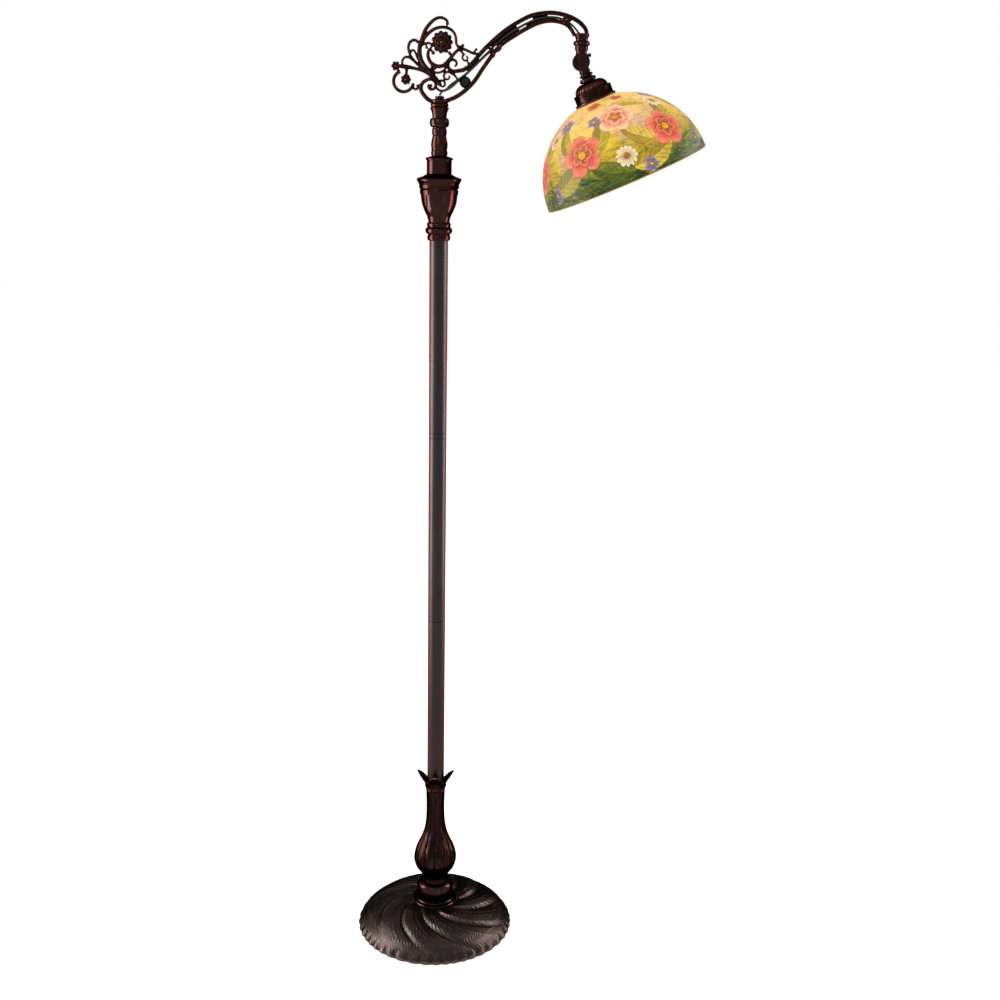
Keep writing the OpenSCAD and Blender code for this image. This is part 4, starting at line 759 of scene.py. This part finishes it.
# %% Arm: scrolls
BIG_FLOWER = (3.2, 92.4)
stroke(curl(BIG_FLOWER, (9.4, 9.4), (0, 360), (0.9, 0.9), 40), 1.1, -3.2)
stroke(flowing([[-28.4, 91, 3], [-22.3, 107.6, 2.9], [-16.1, 116.5, 2.7], [-8.9, 123.4, 2.5],
                [-1.7, 126.4, 2.3], [4.5, 126, 2.2], [9.7, 122.9, 2], [11.6, 119.6, 1.7]]))
stroke(flowing([[-27.4, 90, 3], [-22.8, 98.4, 2.9], [-16, 105.3, 2.7], [-7.8, 110.8, 2.5],
    [1.5, 113.2, 2.4], [9.8, 112.7, 2.3], [17.1, 109.4, 2.2], [21.8, 104, 2.1], [23.8, 97, 2.1],
    [24.2, 90.6, 2.1], [28.6, 84.2, 2]]))
stroke(flowing([[-10.4, 78.6, 1.6], [-15.4, 81.6, 2], [-17.6, 76, 2.5], [-16.8, 69.5, 2.8],
    [-13, 63, 2.9], [-6.5, 59.2, 2.9], [0.5, 58.3, 2.9], [7.5, 61, 2.9], [13, 66.8, 2.8],
    [18.5, 73.4, 2.6], [24, 79.4, 2.4], [29.5, 83, 2.3], [35.4, 83, 2.2], [42, 80.6, 2.1],
    [49, 77.6, 2], [57, 76.6, 1.8]]))
stroke([[17.6, 72.4, 1.6], [14.6, 76.8, 1.6]])
stroke(flowing([[24, 89.6, 1.6], [28.7, 86.4, 1.7], [33, 87.6, 1.5]]))
stroke([[48.4, 77, 1.6], [53, 82, 1.4]])
stroke(np.vstack([[[29.6, 82, 1.8], [32.6, 78.6, 1.8]], curl((38.2, 70.9), (5.4, 2.2), (118, 440),
    (1.7, 1.3))]))
stroke([[40.5, 66.4, 1.6], [44.6, 60.5, 1.6]])
stroke(np.vstack([[[26, 41, 1.6], [22.4, 45.8, 1.8]], curl((11.4, 44), (7, 2.3), (62, 400),
    (1.9, 1.4))]))
stroke(flowing([[-11, 59.6, 1.8], [-12.4, 54.2, 1.8], [-8.2, 50.2, 1.8], [-2.3, 49.2, 1.8],
    [4, 51.3, 1.9], [8.3, 55.4, 1.9], [9.6, 61.4, 1.9]]))
stroke(curl((3.6, 33), (6, 2.4), (158, -190), (1.9, 1.4)))
stroke(flowing([[-6.5, 30, 1.8], [-2.6, 25.6, 1.9], [3, 23.4, 1.9], [10, 25, 2]]))
stroke(np.vstack([flowing([[-7.5, 7.4, 3], [-13.4, 8.8, 3.1], [-19, 12.4, 3.2], [-24.2, 18, 3.2],
                           [-27.6, 24, 3.1], [-27.6, 30.6, 3], [-24, 36, 2.8]]),
                  curl((-13.2, 30.8), (9.8, 3), (128, -220), (2.6, 1.6))]))

# %% Arm: stems
stroke(flowing([[1, 31, 2.6], [-5.3, 38.2, 2.4], [-13.7, 45, 2.4], [-22.1, 50, 2.2],
    [-32.5, 53.5, 2.2], [-42.9, 55.8, 2.8], [-53.4, 57, 3.3], [-62, 57.8, 2.4]]))
stroke(curl((-53.9, 35.9), (14.9, 14.6), (108, 352), (2.6, 2.4), 40))
stroke([[-49, 56, 2.4], [-49.9, 44, 2]])
stroke(curl((-35.4, 28.6), (4.8, 2), (128, 440), (2, 1.5)))
stroke([[-31.8, 30.5, 1.8], [-26.5, 31.4, 1.8]])
stroke(flowing([[-2, 36.4, 2.2], [-15.8, 48.5, 2.4], [-27.3, 56.5, 2.4], [-34.6, 62.1, 2.2],
    [-40.9, 67.2, 2], [-45.8, 70.2, 2], [-50.8, 70.5, 1.9], [-54.6, 67.4, 1.8], [-56, 62.6, 1.8],
    [-54, 57.6, 1.6]]))
stroke(flowing([[-27, 86, 2.3], [-33.2, 92.6, 2.3], [-38.8, 94.6, 2.2], [-44, 91.6, 2.2],
    [-46.6, 85.4, 2.2], [-45.8, 78.6, 2.1], [-43, 71.8, 2.1], [-36.7, 64, 2.2],
    [-27.3, 55.3, 2.2]]))
stroke(flowing([[-16.9, 50.5, 1.6], [-26.3, 59.3, 1.7], [-32.5, 68.1, 1.7], [-35.7, 75.6, 1.7],
                [-38.6, 80.2, 1.7], [-42, 79.6, 1.7], [-44.6, 75, 1.7]]))
stroke(flowing([[1, 31, 3], [-3.2, 37.8, 3], [-12.7, 48.6, 3.1], [-20, 55.8, 3.2],
    [-26, 63.6, 3.2], [-29.2, 71.5, 3.4], [-30.2, 79.5, 3.5], [-29.6, 87, 3.3], [-27.4, 94, 3]]))
stroke(flowing([[-29, 86, 1.8], [-22.2, 89.9, 1.8], [-16, 90.8, 1.8], [-12.2, 87.4, 1.7],
    [-14.4, 82, 1.6]]))
stroke([[-20.4, 89.6, 1.4], [-19.9, 85, 1.4]])
print(len(STROKES), "strokes in the arm")

# %% Arm: sweep the strokes


def oval(ratio, groove):
    """The section of a stroke, one unit wide to each side, with a groove down its faces."""
    sides = 20
    section = bpy.data.curves.new("section", "CURVE")
    line = section.splines.new("POLY")
    line.points.add(sides - 1)
    for k in range(sides):
        a = 2 * math.pi * k / sides
        dent = 1 - groove * math.exp(-((math.cos(a) / 0.4) ** 2))
        line.points[k].co = (math.cos(a), ratio * math.sin(a) * dent, 0, 1)
    line.use_cyclic_u = True
    return bpy.data.objects.new("section", section)


def swept(path, depth, groove):
    """One stroke as a bevelled curve, still flat on the XY plane."""
    middle_width = float(np.mean(path[:, 2]))
    ratio = depth / middle_width if depth else 1.05 + 0.9 / middle_width
    flat = bpy.data.curves.new("stroke", "CURVE")
    flat.dimensions = "2D"
    flat.fill_mode = "NONE"
    flat.bevel_mode = "OBJECT"
    flat.bevel_object = oval(ratio, groove)
    flat.use_fill_caps = True
    line = flat.splines.new("POLY")
    line.points.add(len(path) - 1)
    for point, (x, y, w) in zip(line.points, path):
        point.co = (x * MM, y * MM, 0, 1)
        point.radius = w * MM
    made = bpy.data.objects.new("stroke", flat)
    bpy.context.scene.collection.objects.link(made)
    return made


def ball(shape, x, z, r, back=0.0, squash=(1, 1, 1)):
    place = Matrix.Translation((x * MM, back * MM, ARM_SEAT + z * MM))
    place = place @ Matrix.Diagonal((*squash, 1))
    bmesh.ops.create_uvsphere(shape, u_segments=16, v_segments=10, radius=r * MM, matrix=place)


def petals(shape, x, z, count, reach, size, front, turn=0.0):
    """A ring of cupped petals that faces the front."""
    for k in range(count):
        a = 2 * math.pi * k / count + turn
        place = Matrix.Translation((x * MM, front * MM, ARM_SEAT + z * MM))
        place = place @ Matrix.Rotation(a, 4, "Y") @ Matrix.Translation((reach * MM, 0, 0))
        place = place @ Matrix.Rotation(0.35, 4, "Z") @ Matrix.Diagonal((1.15, 0.45, 1, 1))
        bmesh.ops.create_uvsphere(shape, u_segments=14, v_segments=10, radius=size * MM,
                matrix=place)


def turned_ring(shape, outline, centre, axis):
    """A closed outline of (radius, height) pairs, turned round an axis through a centre."""
    axis = Vector(axis).normalized()
    side = axis.orthogonal().normalized()
    corners = [shape.verts.new(Vector(centre) + side * (r * MM) + axis * (h * MM))
               for r, h in outline]
    edges = [shape.edges.new(pair) for pair in zip(corners, corners[1:] + corners[:1])]
    bmesh.ops.spin(shape, geom=corners + edges, cent=centre, axis=axis, angle=2 * math.pi,
            steps=48, use_merge=True)


# %% Arm: beads, flowers and turned rings
# Beads on the scrolls: across, up, radius and place behind the middle
BEADS = [(10.8, 118.4, 2.7, 0), (-9.9, 77, 2.9, 0), (14.2, 77.3, 2.7, 0), (34, 88.3, 2.4, 0),
         (53.8, 83, 2.2, 0), (-7.3, 56, 2.9, 0), (-12.9, 30.7, 2.5, 0), (-19.8, 84.6, 2.3, 0),
         (89.2, 88.6, 3, -3.6)]
# Small flowers: across, up, radius, number of petals and place behind the middle
SMALL_FLOWERS = [(-65.2, 57.6, 7.4, 6, -0.4), (-50.3, 38.8, 8, 7, -0.4), (186.5, 127, 8, 6, -3.2)]
# The hub, the yoke's flange and the switch's seat: outline, across, up and axis
TURNED_RINGS = [
    ([(4.4, 0), (12.1, 0), (13.3, 1.6), (13.6, 3.2), (13, 5), (11.7, 6), (11.6, 6.8), (12.8, 8.2),
      (12.9, 9.6), (11.6, 11.2), (6.75, 12), (4.4, 12)], 0, 0, (0, 0, 1)),
    ([(4, 0), (9.2, 0), (9.8, 2), (10.7, 5), (11.4, 6.8), (10, 8), (7.4, 7), (4, 5.3)],
     209.5 * MM, 100.4 * MM, (0, 0, 1)),
    ([(4.2, 1.6), (8.4, 1.6), (8.4, 4.4), (4.2, 4.4)], 37.8 * MM, 36.6 * MM, (0, 1, 0))]
print(len(BEADS), "beads,", 1 + len(SMALL_FLOWERS), "flowers,", len(TURNED_RINGS), "turned rings")

# %% Arm: throw everything together


def build_arm():
    shape = bmesh.new()
    curves = [(swept(path, depth, groove), back) for path, depth, back, groove in STROKES]
    bpy.context.view_layer.update()
    depsgraph = bpy.context.evaluated_depsgraph_get()
    for curve, back in curves:
        bar = bpy.data.meshes.new_from_object(curve.evaluated_get(depsgraph))
        stand_up = Matrix.Rotation(math.pi / 2, 4, "X")
        bar.transform(Matrix.Translation((0, back * MM, ARM_SEAT)) @ stand_up)
        shape.from_mesh(bar)
        bpy.data.meshes.remove(bar)
    for curve, back in curves:
        bpy.data.objects.remove(curve)
    for x, z, r, back in BEADS:
        ball(shape, x, z, r, back)
    ball(shape, *BIG_FLOWER, 13.4, 0.2, (1, 0.24, 1))
    petals(shape, *BIG_FLOWER, 11, 12.2, 3.9, -1.2)
    petals(shape, *BIG_FLOWER, 5, 4.6, 3.0, -3.6, 0.3)
    ball(shape, *BIG_FLOWER, 2.3, -5.4)
    for x, z, r, count, back in SMALL_FLOWERS:
        ball(shape, x, z, r * 0.74, back, (1, 0.28, 1))
        petals(shape, x, z, count, r * 0.66, r * 0.34, back - 0.6)
        ball(shape, x, z, r * 0.26, back - 1.9)
    for outline, x, z, axis in TURNED_RINGS:
        turned_ring(shape, outline, (x, 0, ARM_SEAT + z), axis)
    bmesh.ops.recalc_face_normals(shape, faces=shape.faces)
    return as_mesh("arm_strokes", shape)


def fused(name, mesh):
    """The mesh fused by a voxel remesh, with its steps relaxed away."""
    source = bpy.data.objects.new("settling", mesh)
    bpy.context.scene.collection.objects.link(source)
    fuse = source.modifiers.new("fuse", "REMESH")
    fuse.mode, fuse.voxel_size = "VOXEL", VOXEL
    relax = source.modifiers.new("relax", "SMOOTH")
    relax.factor, relax.iterations = 0.5, RELAX_ROUNDS
    bpy.context.view_layer.update()
    depsgraph = bpy.context.evaluated_depsgraph_get()
    done = bpy.data.meshes.new_from_object(source.evaluated_get(depsgraph))
    bpy.data.objects.remove(source)
    done.name = name
    return done


arm = fused("arm_cast", build_arm())
mark_wear(arm, 0.0006)
show("arm_cast", arm, CASTING, "arm_casting")

# %% [markdown]
# ## Base: swirling plumes
# The real base is sand cast with plumes that start under the ring and sweep out to a lobed
# rim. Sculpting them by hand would take hours and a texture would lie flat from the side.
# Here a cross-section is spun into a dense dome, and every point is then lifted or sunk by
# a function of its radius and angle: overlapping plumes, their barbs and the rim's lobes.

# %% Base: section and spin
BASE_LOW, BASE_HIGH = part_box("base_shell")
BASE_FLOOR, BASE_TOP = BASE_LOW.z / MM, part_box("base_ring")[0].z / MM
BASE_R, BOSS_R, SEAT_R, BORE_R, RIM_H = 134.0, 38.0, 22.0, 8.0, 5.0
HOLLOW_R, HOLLOW_TOP = 128.0, 43.0
PLUMES, LOBES = 9, 45


def dome_height(t, top):
    """Height of the dome, from its flat boss (t = 0) to its rim (t = 1)."""
    return RIM_H + (top - RIM_H) * np.power(1 - np.clip(t, 0, 1) ** 2.3, 0.7)


def spun(name, outline, steps):
    """A mesh turned round Z from (radius, height) pairs, its points, their radii and angles."""
    shape = bmesh.new()
    corners = [shape.verts.new((r * MM, 0, h * MM)) for r, h in outline]
    edges = [shape.edges.new(pair) for pair in zip(corners, corners[1:] + corners[:1])]
    bmesh.ops.spin(shape, geom=corners + edges, cent=(0, 0, 0), axis=(0, 0, 1), angle=2 * math.pi,
                   steps=steps, use_merge=True)
    bmesh.ops.remove_doubles(shape, verts=shape.verts, dist=1e-7)
    bmesh.ops.recalc_face_normals(shape, faces=shape.faces)
    mesh = as_mesh(name, shape)
    at = points_of(mesh)
    return mesh, at, np.hypot(at[:, 0], at[:, 1]) / MM, np.arctan2(at[:, 1], at[:, 0])


def draw_in(at, r, by):
    """Moves points at the distances r towards the Z axis, by so many millimetres."""
    at[:, :2] *= ((r - by) / np.maximum(r, 1e-6))[:, None]


def smooth_step(x, low, high):
    x = np.clip((x - low) / (high - low), 0, 1)
    return x * x * (3 - 2 * x)


# %% Base: relief


def plume_relief(t, angle):
    """How far the dome stands out, in millimetres, at a distance t and an angle."""
    turns = angle / (2 * math.pi)
    lag = 0.2 * t**1.25 + 0.006 * np.sin(2 * math.pi * (3 * turns + 0.2)) * t
    across = (turns - lag) * PLUMES
    which = np.floor(across)
    u = across - which
    odd = np.sin(which * 12.9 + 2.0) * 0.5 + 0.5
    reach = smooth_step(t, 0.0, 0.16) * (1 - 0.72 * smooth_step(t, 0.45, 1.0))
    shingle = smooth_step(u, 0.0, 0.2) * (1 - smooth_step(u, 0.2, 1.15)) * 2.6 - 0.9
    hollow = np.exp(-((np.minimum(u, 1 - u) / 0.06) ** 2)) * (2.0 + 0.9 * odd)
    hollow *= smooth_step(t, 0.02, 0.12)
    hollow *= 1 - 0.85 * smooth_step(t, 0.4 + 0.25 * odd, 0.85)
    spine = 0.42 + 0.1 * odd
    rib = np.exp(-(((u - spine) / 0.035) ** 2)) * 0.8 * (1 - t)
    second = np.exp(-(((u - spine - 0.3 + 0.22 * t) / 0.04) ** 2)) * 0.7 * smooth_step(t, 0.1, 0.3)
    barb = np.sin(2 * math.pi * (15 * t - (9 + 3 * odd) * np.abs(u - spine) + which * 0.37))
    near_rim = np.sin(2 * math.pi * (126 * turns - 9 * t + 1.2 * np.sin(2 * math.pi * 4 * t)))
    fade = smooth_step(t, 0.5, 0.8)
    barbs = (barb * (1 - fade) * 0.42 + near_rim * fade * 0.3) * smooth_step(t, 0.06, 0.2)
    return (shingle + rib + second) * reach - hollow + barbs * (1 - 0.5 * smooth_step(t, 0.9, 1.0))


def build_base():
    top_line = [(BOSS_R + (BASE_R - BOSS_R) * t, float(dome_height(t, BASE_TOP)))
                for t in np.concatenate([np.linspace(0, 0.9, 74), np.linspace(0.9, 1, 18)[1:]])]
    outline = [(BORE_R, BASE_TOP), (SEAT_R, BASE_TOP)] + top_line
    outline += [(BASE_R, 4.2), (BASE_R - 0.4, 3.0), (BASE_R - 1.5, BASE_FLOOR),
            (HOLLOW_R, BASE_FLOOR)]
    for r in range(int(HOLLOW_R), int(BOSS_R), -14):
        share = (r - BOSS_R) / (HOLLOW_R - BOSS_R)
        outline.append((r, float(dome_height(share, HOLLOW_TOP)) - 0.2))
    outline.append((BORE_R, HOLLOW_TOP - 0.2))
    mesh, at, r, angle = spun("base_plumes", outline, 720)
    t = (r - BOSS_R) / (BASE_R - BOSS_R)
    outside = (at[:, 2] / MM >= dome_height(t, BASE_TOP) - 0.01) & (t > 0)
    lift = np.where(outside, plume_relief(np.clip(t, 0, 1), angle), 0)
    lift *= 1 - smooth_step(t, 0.965, 1.0)
    turns = angle / (2 * math.pi)
    uneven = 0.3 * np.sin(2 * math.pi * 5 * turns)
    lobe = 0.5 + 0.5 * np.cos(2 * math.pi * (LOBES * turns + uneven))
    draw_in(at, r, (1 - lobe) ** 1.4 * 1.9 * smooth_step(t, 0.9, 0.99))
    at[:, 2] = np.minimum(at[:, 2] + lift * MM, BASE_HIGH.z - 0.00002 * (t > 0.02))
    put_points(mesh, at)
    mark_wear(mesh, 0.0009)
    return mesh


show("base_plumes", build_base(), BASE_METAL, "base_shell")

# %% [markdown]
# ## Baluster and leaf cup
# The baluster is a turned vase with twelve round flutes that meet in sharp grooves. A
# lathe shape with a rippled radius gives both at once: spin the section, then draw each
# point in by a rounded wave of its angle. The cup at its top is four pointed leaves with
# a midrib, made in the same way from the solids' own outline.

# %% Baluster
BALUSTER_LOW, BALUSTER_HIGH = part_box("baluster")
BELLY_R, WAIST_R, FOOT_R, FLUTES = 37.0, 15.5, 22.0, 12
BALUSTER_LINE = np.array([[FOOT_R, 0], [FOOT_R, 0.065], [BELLY_R * 0.735, 0.11],
    [BELLY_R * 0.88, 0.155], [BELLY_R * 0.96, 0.2], [BELLY_R, 0.25], [BELLY_R * 0.955, 0.31],
    [BELLY_R * 0.855, 0.377], [WAIST_R + 9, 0.465], [WAIST_R + 3.8, 0.555], [WAIST_R + 0.9, 0.66],
    [WAIST_R, 0.8], [WAIST_R + 0.8, 1]])


def build_baluster():
    low, tall = BALUSTER_LOW.z / MM, (BALUSTER_HIGH.z - BALUSTER_LOW.z) / MM
    path = flowing(np.column_stack([BALUSTER_LINE, np.ones(len(BALUSTER_LINE))]), 7)
    outline = [(r, low + tall * min(max(h, 0), 1)) for r, h, _ in path]
    outline += [(6.0, low + tall), (6.0, low + tall * 0.96), (11.5, low + tall * 0.96),
            (12.0, low + tall * 0.62), (BELLY_R - 8, low + tall * 0.25),
            (18.0, low + tall * 0.05), (18.0, low)]
    mesh, at, r, angle = spun("baluster_flutes", outline, 480)
    h = (at[:, 2] / MM - low) / tall
    skin = np.interp(h, path[:, 1], path[:, 0])
    wave = np.abs(np.sin(FLUTES * angle / 2))
    groove = 1 - np.sqrt(np.clip(1 - (1 - wave) ** 2.2, 0, 1))
    depth = (0.5 + (skin - WAIST_R) * 0.13) * smooth_step(h, 0.05, 0.12)
    depth *= 1 - smooth_step(h, 0.93, 0.97)
    vein = 0.35 * np.exp(-(((wave - 0.78) / 0.05) ** 2)) * smooth_step(h, 0.12, 0.2)
    vein *= 1 - smooth_step(h, 0.6, 0.85)
    draw_in(at, r, np.where(r > skin - 1.5, depth * groove + vein, 0))
    put_points(mesh, at)
    mark_wear(mesh, 0.0006, smooth_step(h, 0.08, 0.2) * (1 - smooth_step(h, 0.68, 0.8)) * 0.6)
    return mesh


show("baluster_flutes", build_baluster(), CASTING, "baluster")

# %% Leaf cup
CUP_LOW, CUP_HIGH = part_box("leaf_cup")
TIP_R, ROOT_R, WALL_R, CUP_BORE_R, CUP_FLOOR = 31.5, 17.1, 14.4, 6.0, 6.0


def build_cup():
    tall, lines = (CUP_HIGH.z - CUP_LOW.z) / MM, 16
    outline = [(CUP_BORE_R, 0.0)] + [(ROOT_R + k, tall * k / lines) for k in range(lines + 1)]
    outline += [(ROOT_R + 4, tall), (ROOT_R + 2, tall * 0.8), (WALL_R, CUP_FLOOR + 2),
            (WALL_R, CUP_FLOOR), (CUP_BORE_R, CUP_FLOOR)]
    mesh, at, r, angle = spun("cup_leaves", outline, 360)
    height = at[:, 2] / MM
    off = np.abs((np.degrees(angle) + 45) % 90 - 45)
    leaf = np.clip(1 - off / 38, 0, 1) ** 0.75
    serration = 0.06 * np.cos(np.radians(off) * 52) * (leaf > 0.05) * (leaf < 0.9)
    leaf = np.clip(leaf + serration, 0, 1)
    top = tall * (0.45 + 0.55 * leaf)
    rise = height / tall
    outside = r >= ROOT_R - 0.01
    lip = ROOT_R + 3 + (TIP_R - ROOT_R - 3) * leaf
    swell = ROOT_R + 1.4 * smooth_step(rise, 0, 0.2)
    swell += (lip - ROOT_R - 1.4) * smooth_step(rise, 0.3, 1.0) ** 1.35
    midrib = 0.9 * np.exp(-((off / 2.2) ** 2)) * smooth_step(rise, 0.05, 0.3)
    veins = 0.35 * np.sin(2 * math.pi * (rise * 7 + off / 16)) * smooth_step(off, 2, 6)
    veins *= smooth_step(rise, 0.1, 0.3)
    fold = -0.8 * smooth_step(off, 30, 44)
    low_ring = (np.abs(r - ROOT_R - 2) < 0.01) & (np.abs(rise - 0.8) < 1e-3)
    is_inner = outside & ((np.abs(r - ROOT_R - 4) < 0.01) | low_ring)
    new_r = np.where(outside, swell + (midrib + veins + fold) * (1 - 0.6 * (rise > 0.95)), r)
    new_r = np.where(is_inner, np.maximum(WALL_R, swell - 2.4), new_r)
    new_r = np.where(is_inner & (rise > 0.9), lip - 1.4, new_r)
    new_h = np.where(outside, rise * top, height)
    curl_over = 1.6 * smooth_step(rise, 0.9, 1.0) * leaf * outside
    new_r = np.minimum(new_r, TIP_R)
    at[:, 0], at[:, 1] = new_r * np.cos(angle) * MM, new_r * np.sin(angle) * MM
    at[:, 2] = CUP_LOW.z + np.clip(new_h - curl_over * 0.3, 0, tall) * MM
    put_points(mesh, at)
    mark_wear(mesh, 0.0006, 0.12)
    return mesh


show("cup_leaves", build_cup(), CASTING, "leaf_cup")

# %% [markdown]
# ## Shade holder: gadroons
# The cap that carries the glass is a pressed dome with rounded ribs, called gadroons, over a
# plain band. Cutting each rib apart would be slow work; a lathe shape whose crown is drawn
# in along sharp lines between the ribs gives them all, and it stays on the solid's section.

# %% Shade holder
HOLDER_TOP, BAND_TOP, BAND_LOW, FLANGE_LOW = 30.2, 43.2553, 56.7553, 58.3553
BAND_R, FLANGE_R, CROWN_TOP_R, CROWN_LOW_R, PIPE_HOLE_R = 29.4, 31.6, 12.0, 25.5, 5.15
GADROONS = 22
HEAD_PLACE = Matrix.Translation(HINGE) @ UPRIGHT.inverted().to_4x4()


def build_holder():
    outline = []
    for a in np.linspace(0, math.pi / 2, 22):
        outline.append((CROWN_TOP_R + (CROWN_LOW_R - CROWN_TOP_R) * math.sin(a),
                        -HOLDER_TOP - (BAND_TOP - HOLDER_TOP) * (1 - math.cos(a))))
    outline += [(CROWN_LOW_R + 0.6, -BAND_TOP + 0.5), (BAND_R - 1.2, -BAND_TOP + 0.5),
            (BAND_R - 0.3, -BAND_TOP), (BAND_R, -BAND_TOP - 0.9), (BAND_R - 0.4, -BAND_TOP - 2.2),
            (BAND_R - 0.4, -BAND_LOW + 1.8), (BAND_R, -BAND_LOW + 0.8),
            (FLANGE_R - 0.3, -BAND_LOW + 0.1), (FLANGE_R, -BAND_LOW - 0.3),
            (FLANGE_R, -FLANGE_LOW), (BAND_R - 1.5, -FLANGE_LOW), (BAND_R - 1.5, -BAND_TOP - 1.5),
            (CROWN_LOW_R - 3, -BAND_TOP - 1.5), (CROWN_TOP_R, -HOLDER_TOP - 3),
            (PIPE_HOLE_R, -HOLDER_TOP - 3), (PIPE_HOLE_R, -HOLDER_TOP)]
    mesh, at, r, angle = spun("holder_gadroons", outline, GADROONS * 14)
    h = at[:, 2] / MM
    wave = np.abs(np.sin(GADROONS * angle / 2))
    groove = 1 - np.sqrt(np.clip(1 - (1 - wave) ** 2.0, 0, 1))
    rise = (h + BAND_TOP) / (BAND_TOP - HOLDER_TOP)
    crown = (rise > 0.01) & (r > CROWN_TOP_R - 0.1)
    depth = 1.25 * smooth_step(rise, 0.02, 0.12) * (1 - smooth_step(rise, 0.86, 1.0))
    far = np.hypot(r, h + BAND_TOP)
    kept = 1 - np.where(crown, depth * groove, 0) / far
    at[:, :2] *= kept[:, None]
    at[:, 2] = np.where(crown, (h + BAND_TOP) * kept - BAND_TOP, h) * MM
    put_points(mesh, at)
    mark_wear(mesh, 0.0004, np.where(crown, 0.8, 0.1))
    mesh.transform(HEAD_PLACE)
    return mesh


show("holder_gadroons", build_holder(), CASTING, "shade_holder", "shade_head")

# %% [markdown]
# ## Floor and light
# The photograph has a plain white ground. A modelled room would show in the bronze, so a
# white floor and a white world stand in for it. To the camera and in reflections both are
# plain white, and they light the lamp less than they show.

# %% Floor


def shown_ray(tree):
    """1 on rays from the camera, off shiny metal or through glass, and 0 on all others."""
    path = tree.nodes.new("ShaderNodeLightPath").outputs
    shown = sums(tree, "MAXIMUM", path["Is Camera Ray"], path["Is Glossy Ray"])
    return sums(tree, "MAXIMUM", shown, path["Is Transmission Ray"])


def add_floor():
    shape = bmesh.new()
    bmesh.ops.create_grid(shape, x_segments=4, y_segments=4, size=6)
    mesh = as_mesh("floor", shape)
    floor = bpy.data.objects.new("floor", mesh)
    floor.location.z = -0.0002
    bpy.context.scene.collection.objects.link(floor)
    made, tree, shader = principled("floor_white")
    place = object_point(tree)
    grain = node(tree, "ShaderNodeTexNoise", {"Vector": place, "Scale": 40.0, "Detail": 3.0})
    tint = ramp(tree, grain.outputs[0], [(0.3, grey(0.86)), (0.7, grey(0.9))])
    feed(shader, Base_Color=tint, Roughness=0.9)
    white = node(tree, "ShaderNodeEmission", {0: (1, 1, 1, 1), 1: 0.92})
    both = node(tree, "ShaderNodeAddShader", {0: shader.outputs[0], 1: white.outputs[0]})
    shown = node(tree, "ShaderNodeMixShader", {
        0: shown_ray(tree), 1: shader.outputs[0], 2: both.outputs[0]})
    tree.links.new(shown.outputs[0], tree.nodes["Material Output"].inputs[0])
    floor.data.materials.append(made)
    return floor


FLOOR = add_floor()

# %% World and lights


def add_world():
    world = bpy.data.worlds.new("studio")
    bpy.context.scene.world = world
    world.use_nodes = True
    tree = world.node_tree
    tree.nodes.clear()
    light = node(tree, "ShaderNodeBackground", {0: (1, 1, 1, 1), 1: 0.6})
    shown = node(tree, "ShaderNodeBackground", {0: (1, 1, 1, 1), 1: 1.0})
    mixed = node(tree, "ShaderNodeMixShader", {
        0: shown_ray(tree), 1: light.outputs[0], 2: shown.outputs[0]})
    out = tree.nodes.new("ShaderNodeOutputWorld")
    tree.links.new(mixed.outputs[0], out.inputs[0])


def add_area(name, at, look, size, power):
    data = bpy.data.lights.new(name, "AREA")
    data.shape = "RECTANGLE"
    data.size, data.size_y = size
    data.energy = power
    lamp = bpy.data.objects.new(name, data)
    lamp.location = at
    lamp.rotation_mode = "QUATERNION"
    lamp.rotation_quaternion = (Vector(look) - Vector(at)).to_track_quat("-Z", "Y")
    bpy.context.scene.collection.objects.link(lamp)
    return lamp


add_world()
# The side panels draw the bright bands down turned metal. They stay out of the diffuse light,
# so that the glass between them keeps its plain level.
AIM = (0, 0, 0.85)
PANELS = (add_area("panel_left", (-1.6, -0.15, 1.0), AIM, (0.9, 2.0), 130),
          add_area("panel_right", (1.7, 0.25, 1.0), AIM, (0.7, 2.0), 90))
for panel in PANELS:
    panel.visible_diffuse = False
FRONT = add_area("soft_front", (-0.9, -2.4, 2.6), (0.1, 0, 1.0), (1.2, 1.2), 20)
bpy.context.scene.view_settings.view_transform = "Standard"

print("stage:", [thing.name for thing in (FLOOR, *PANELS, FRONT)])
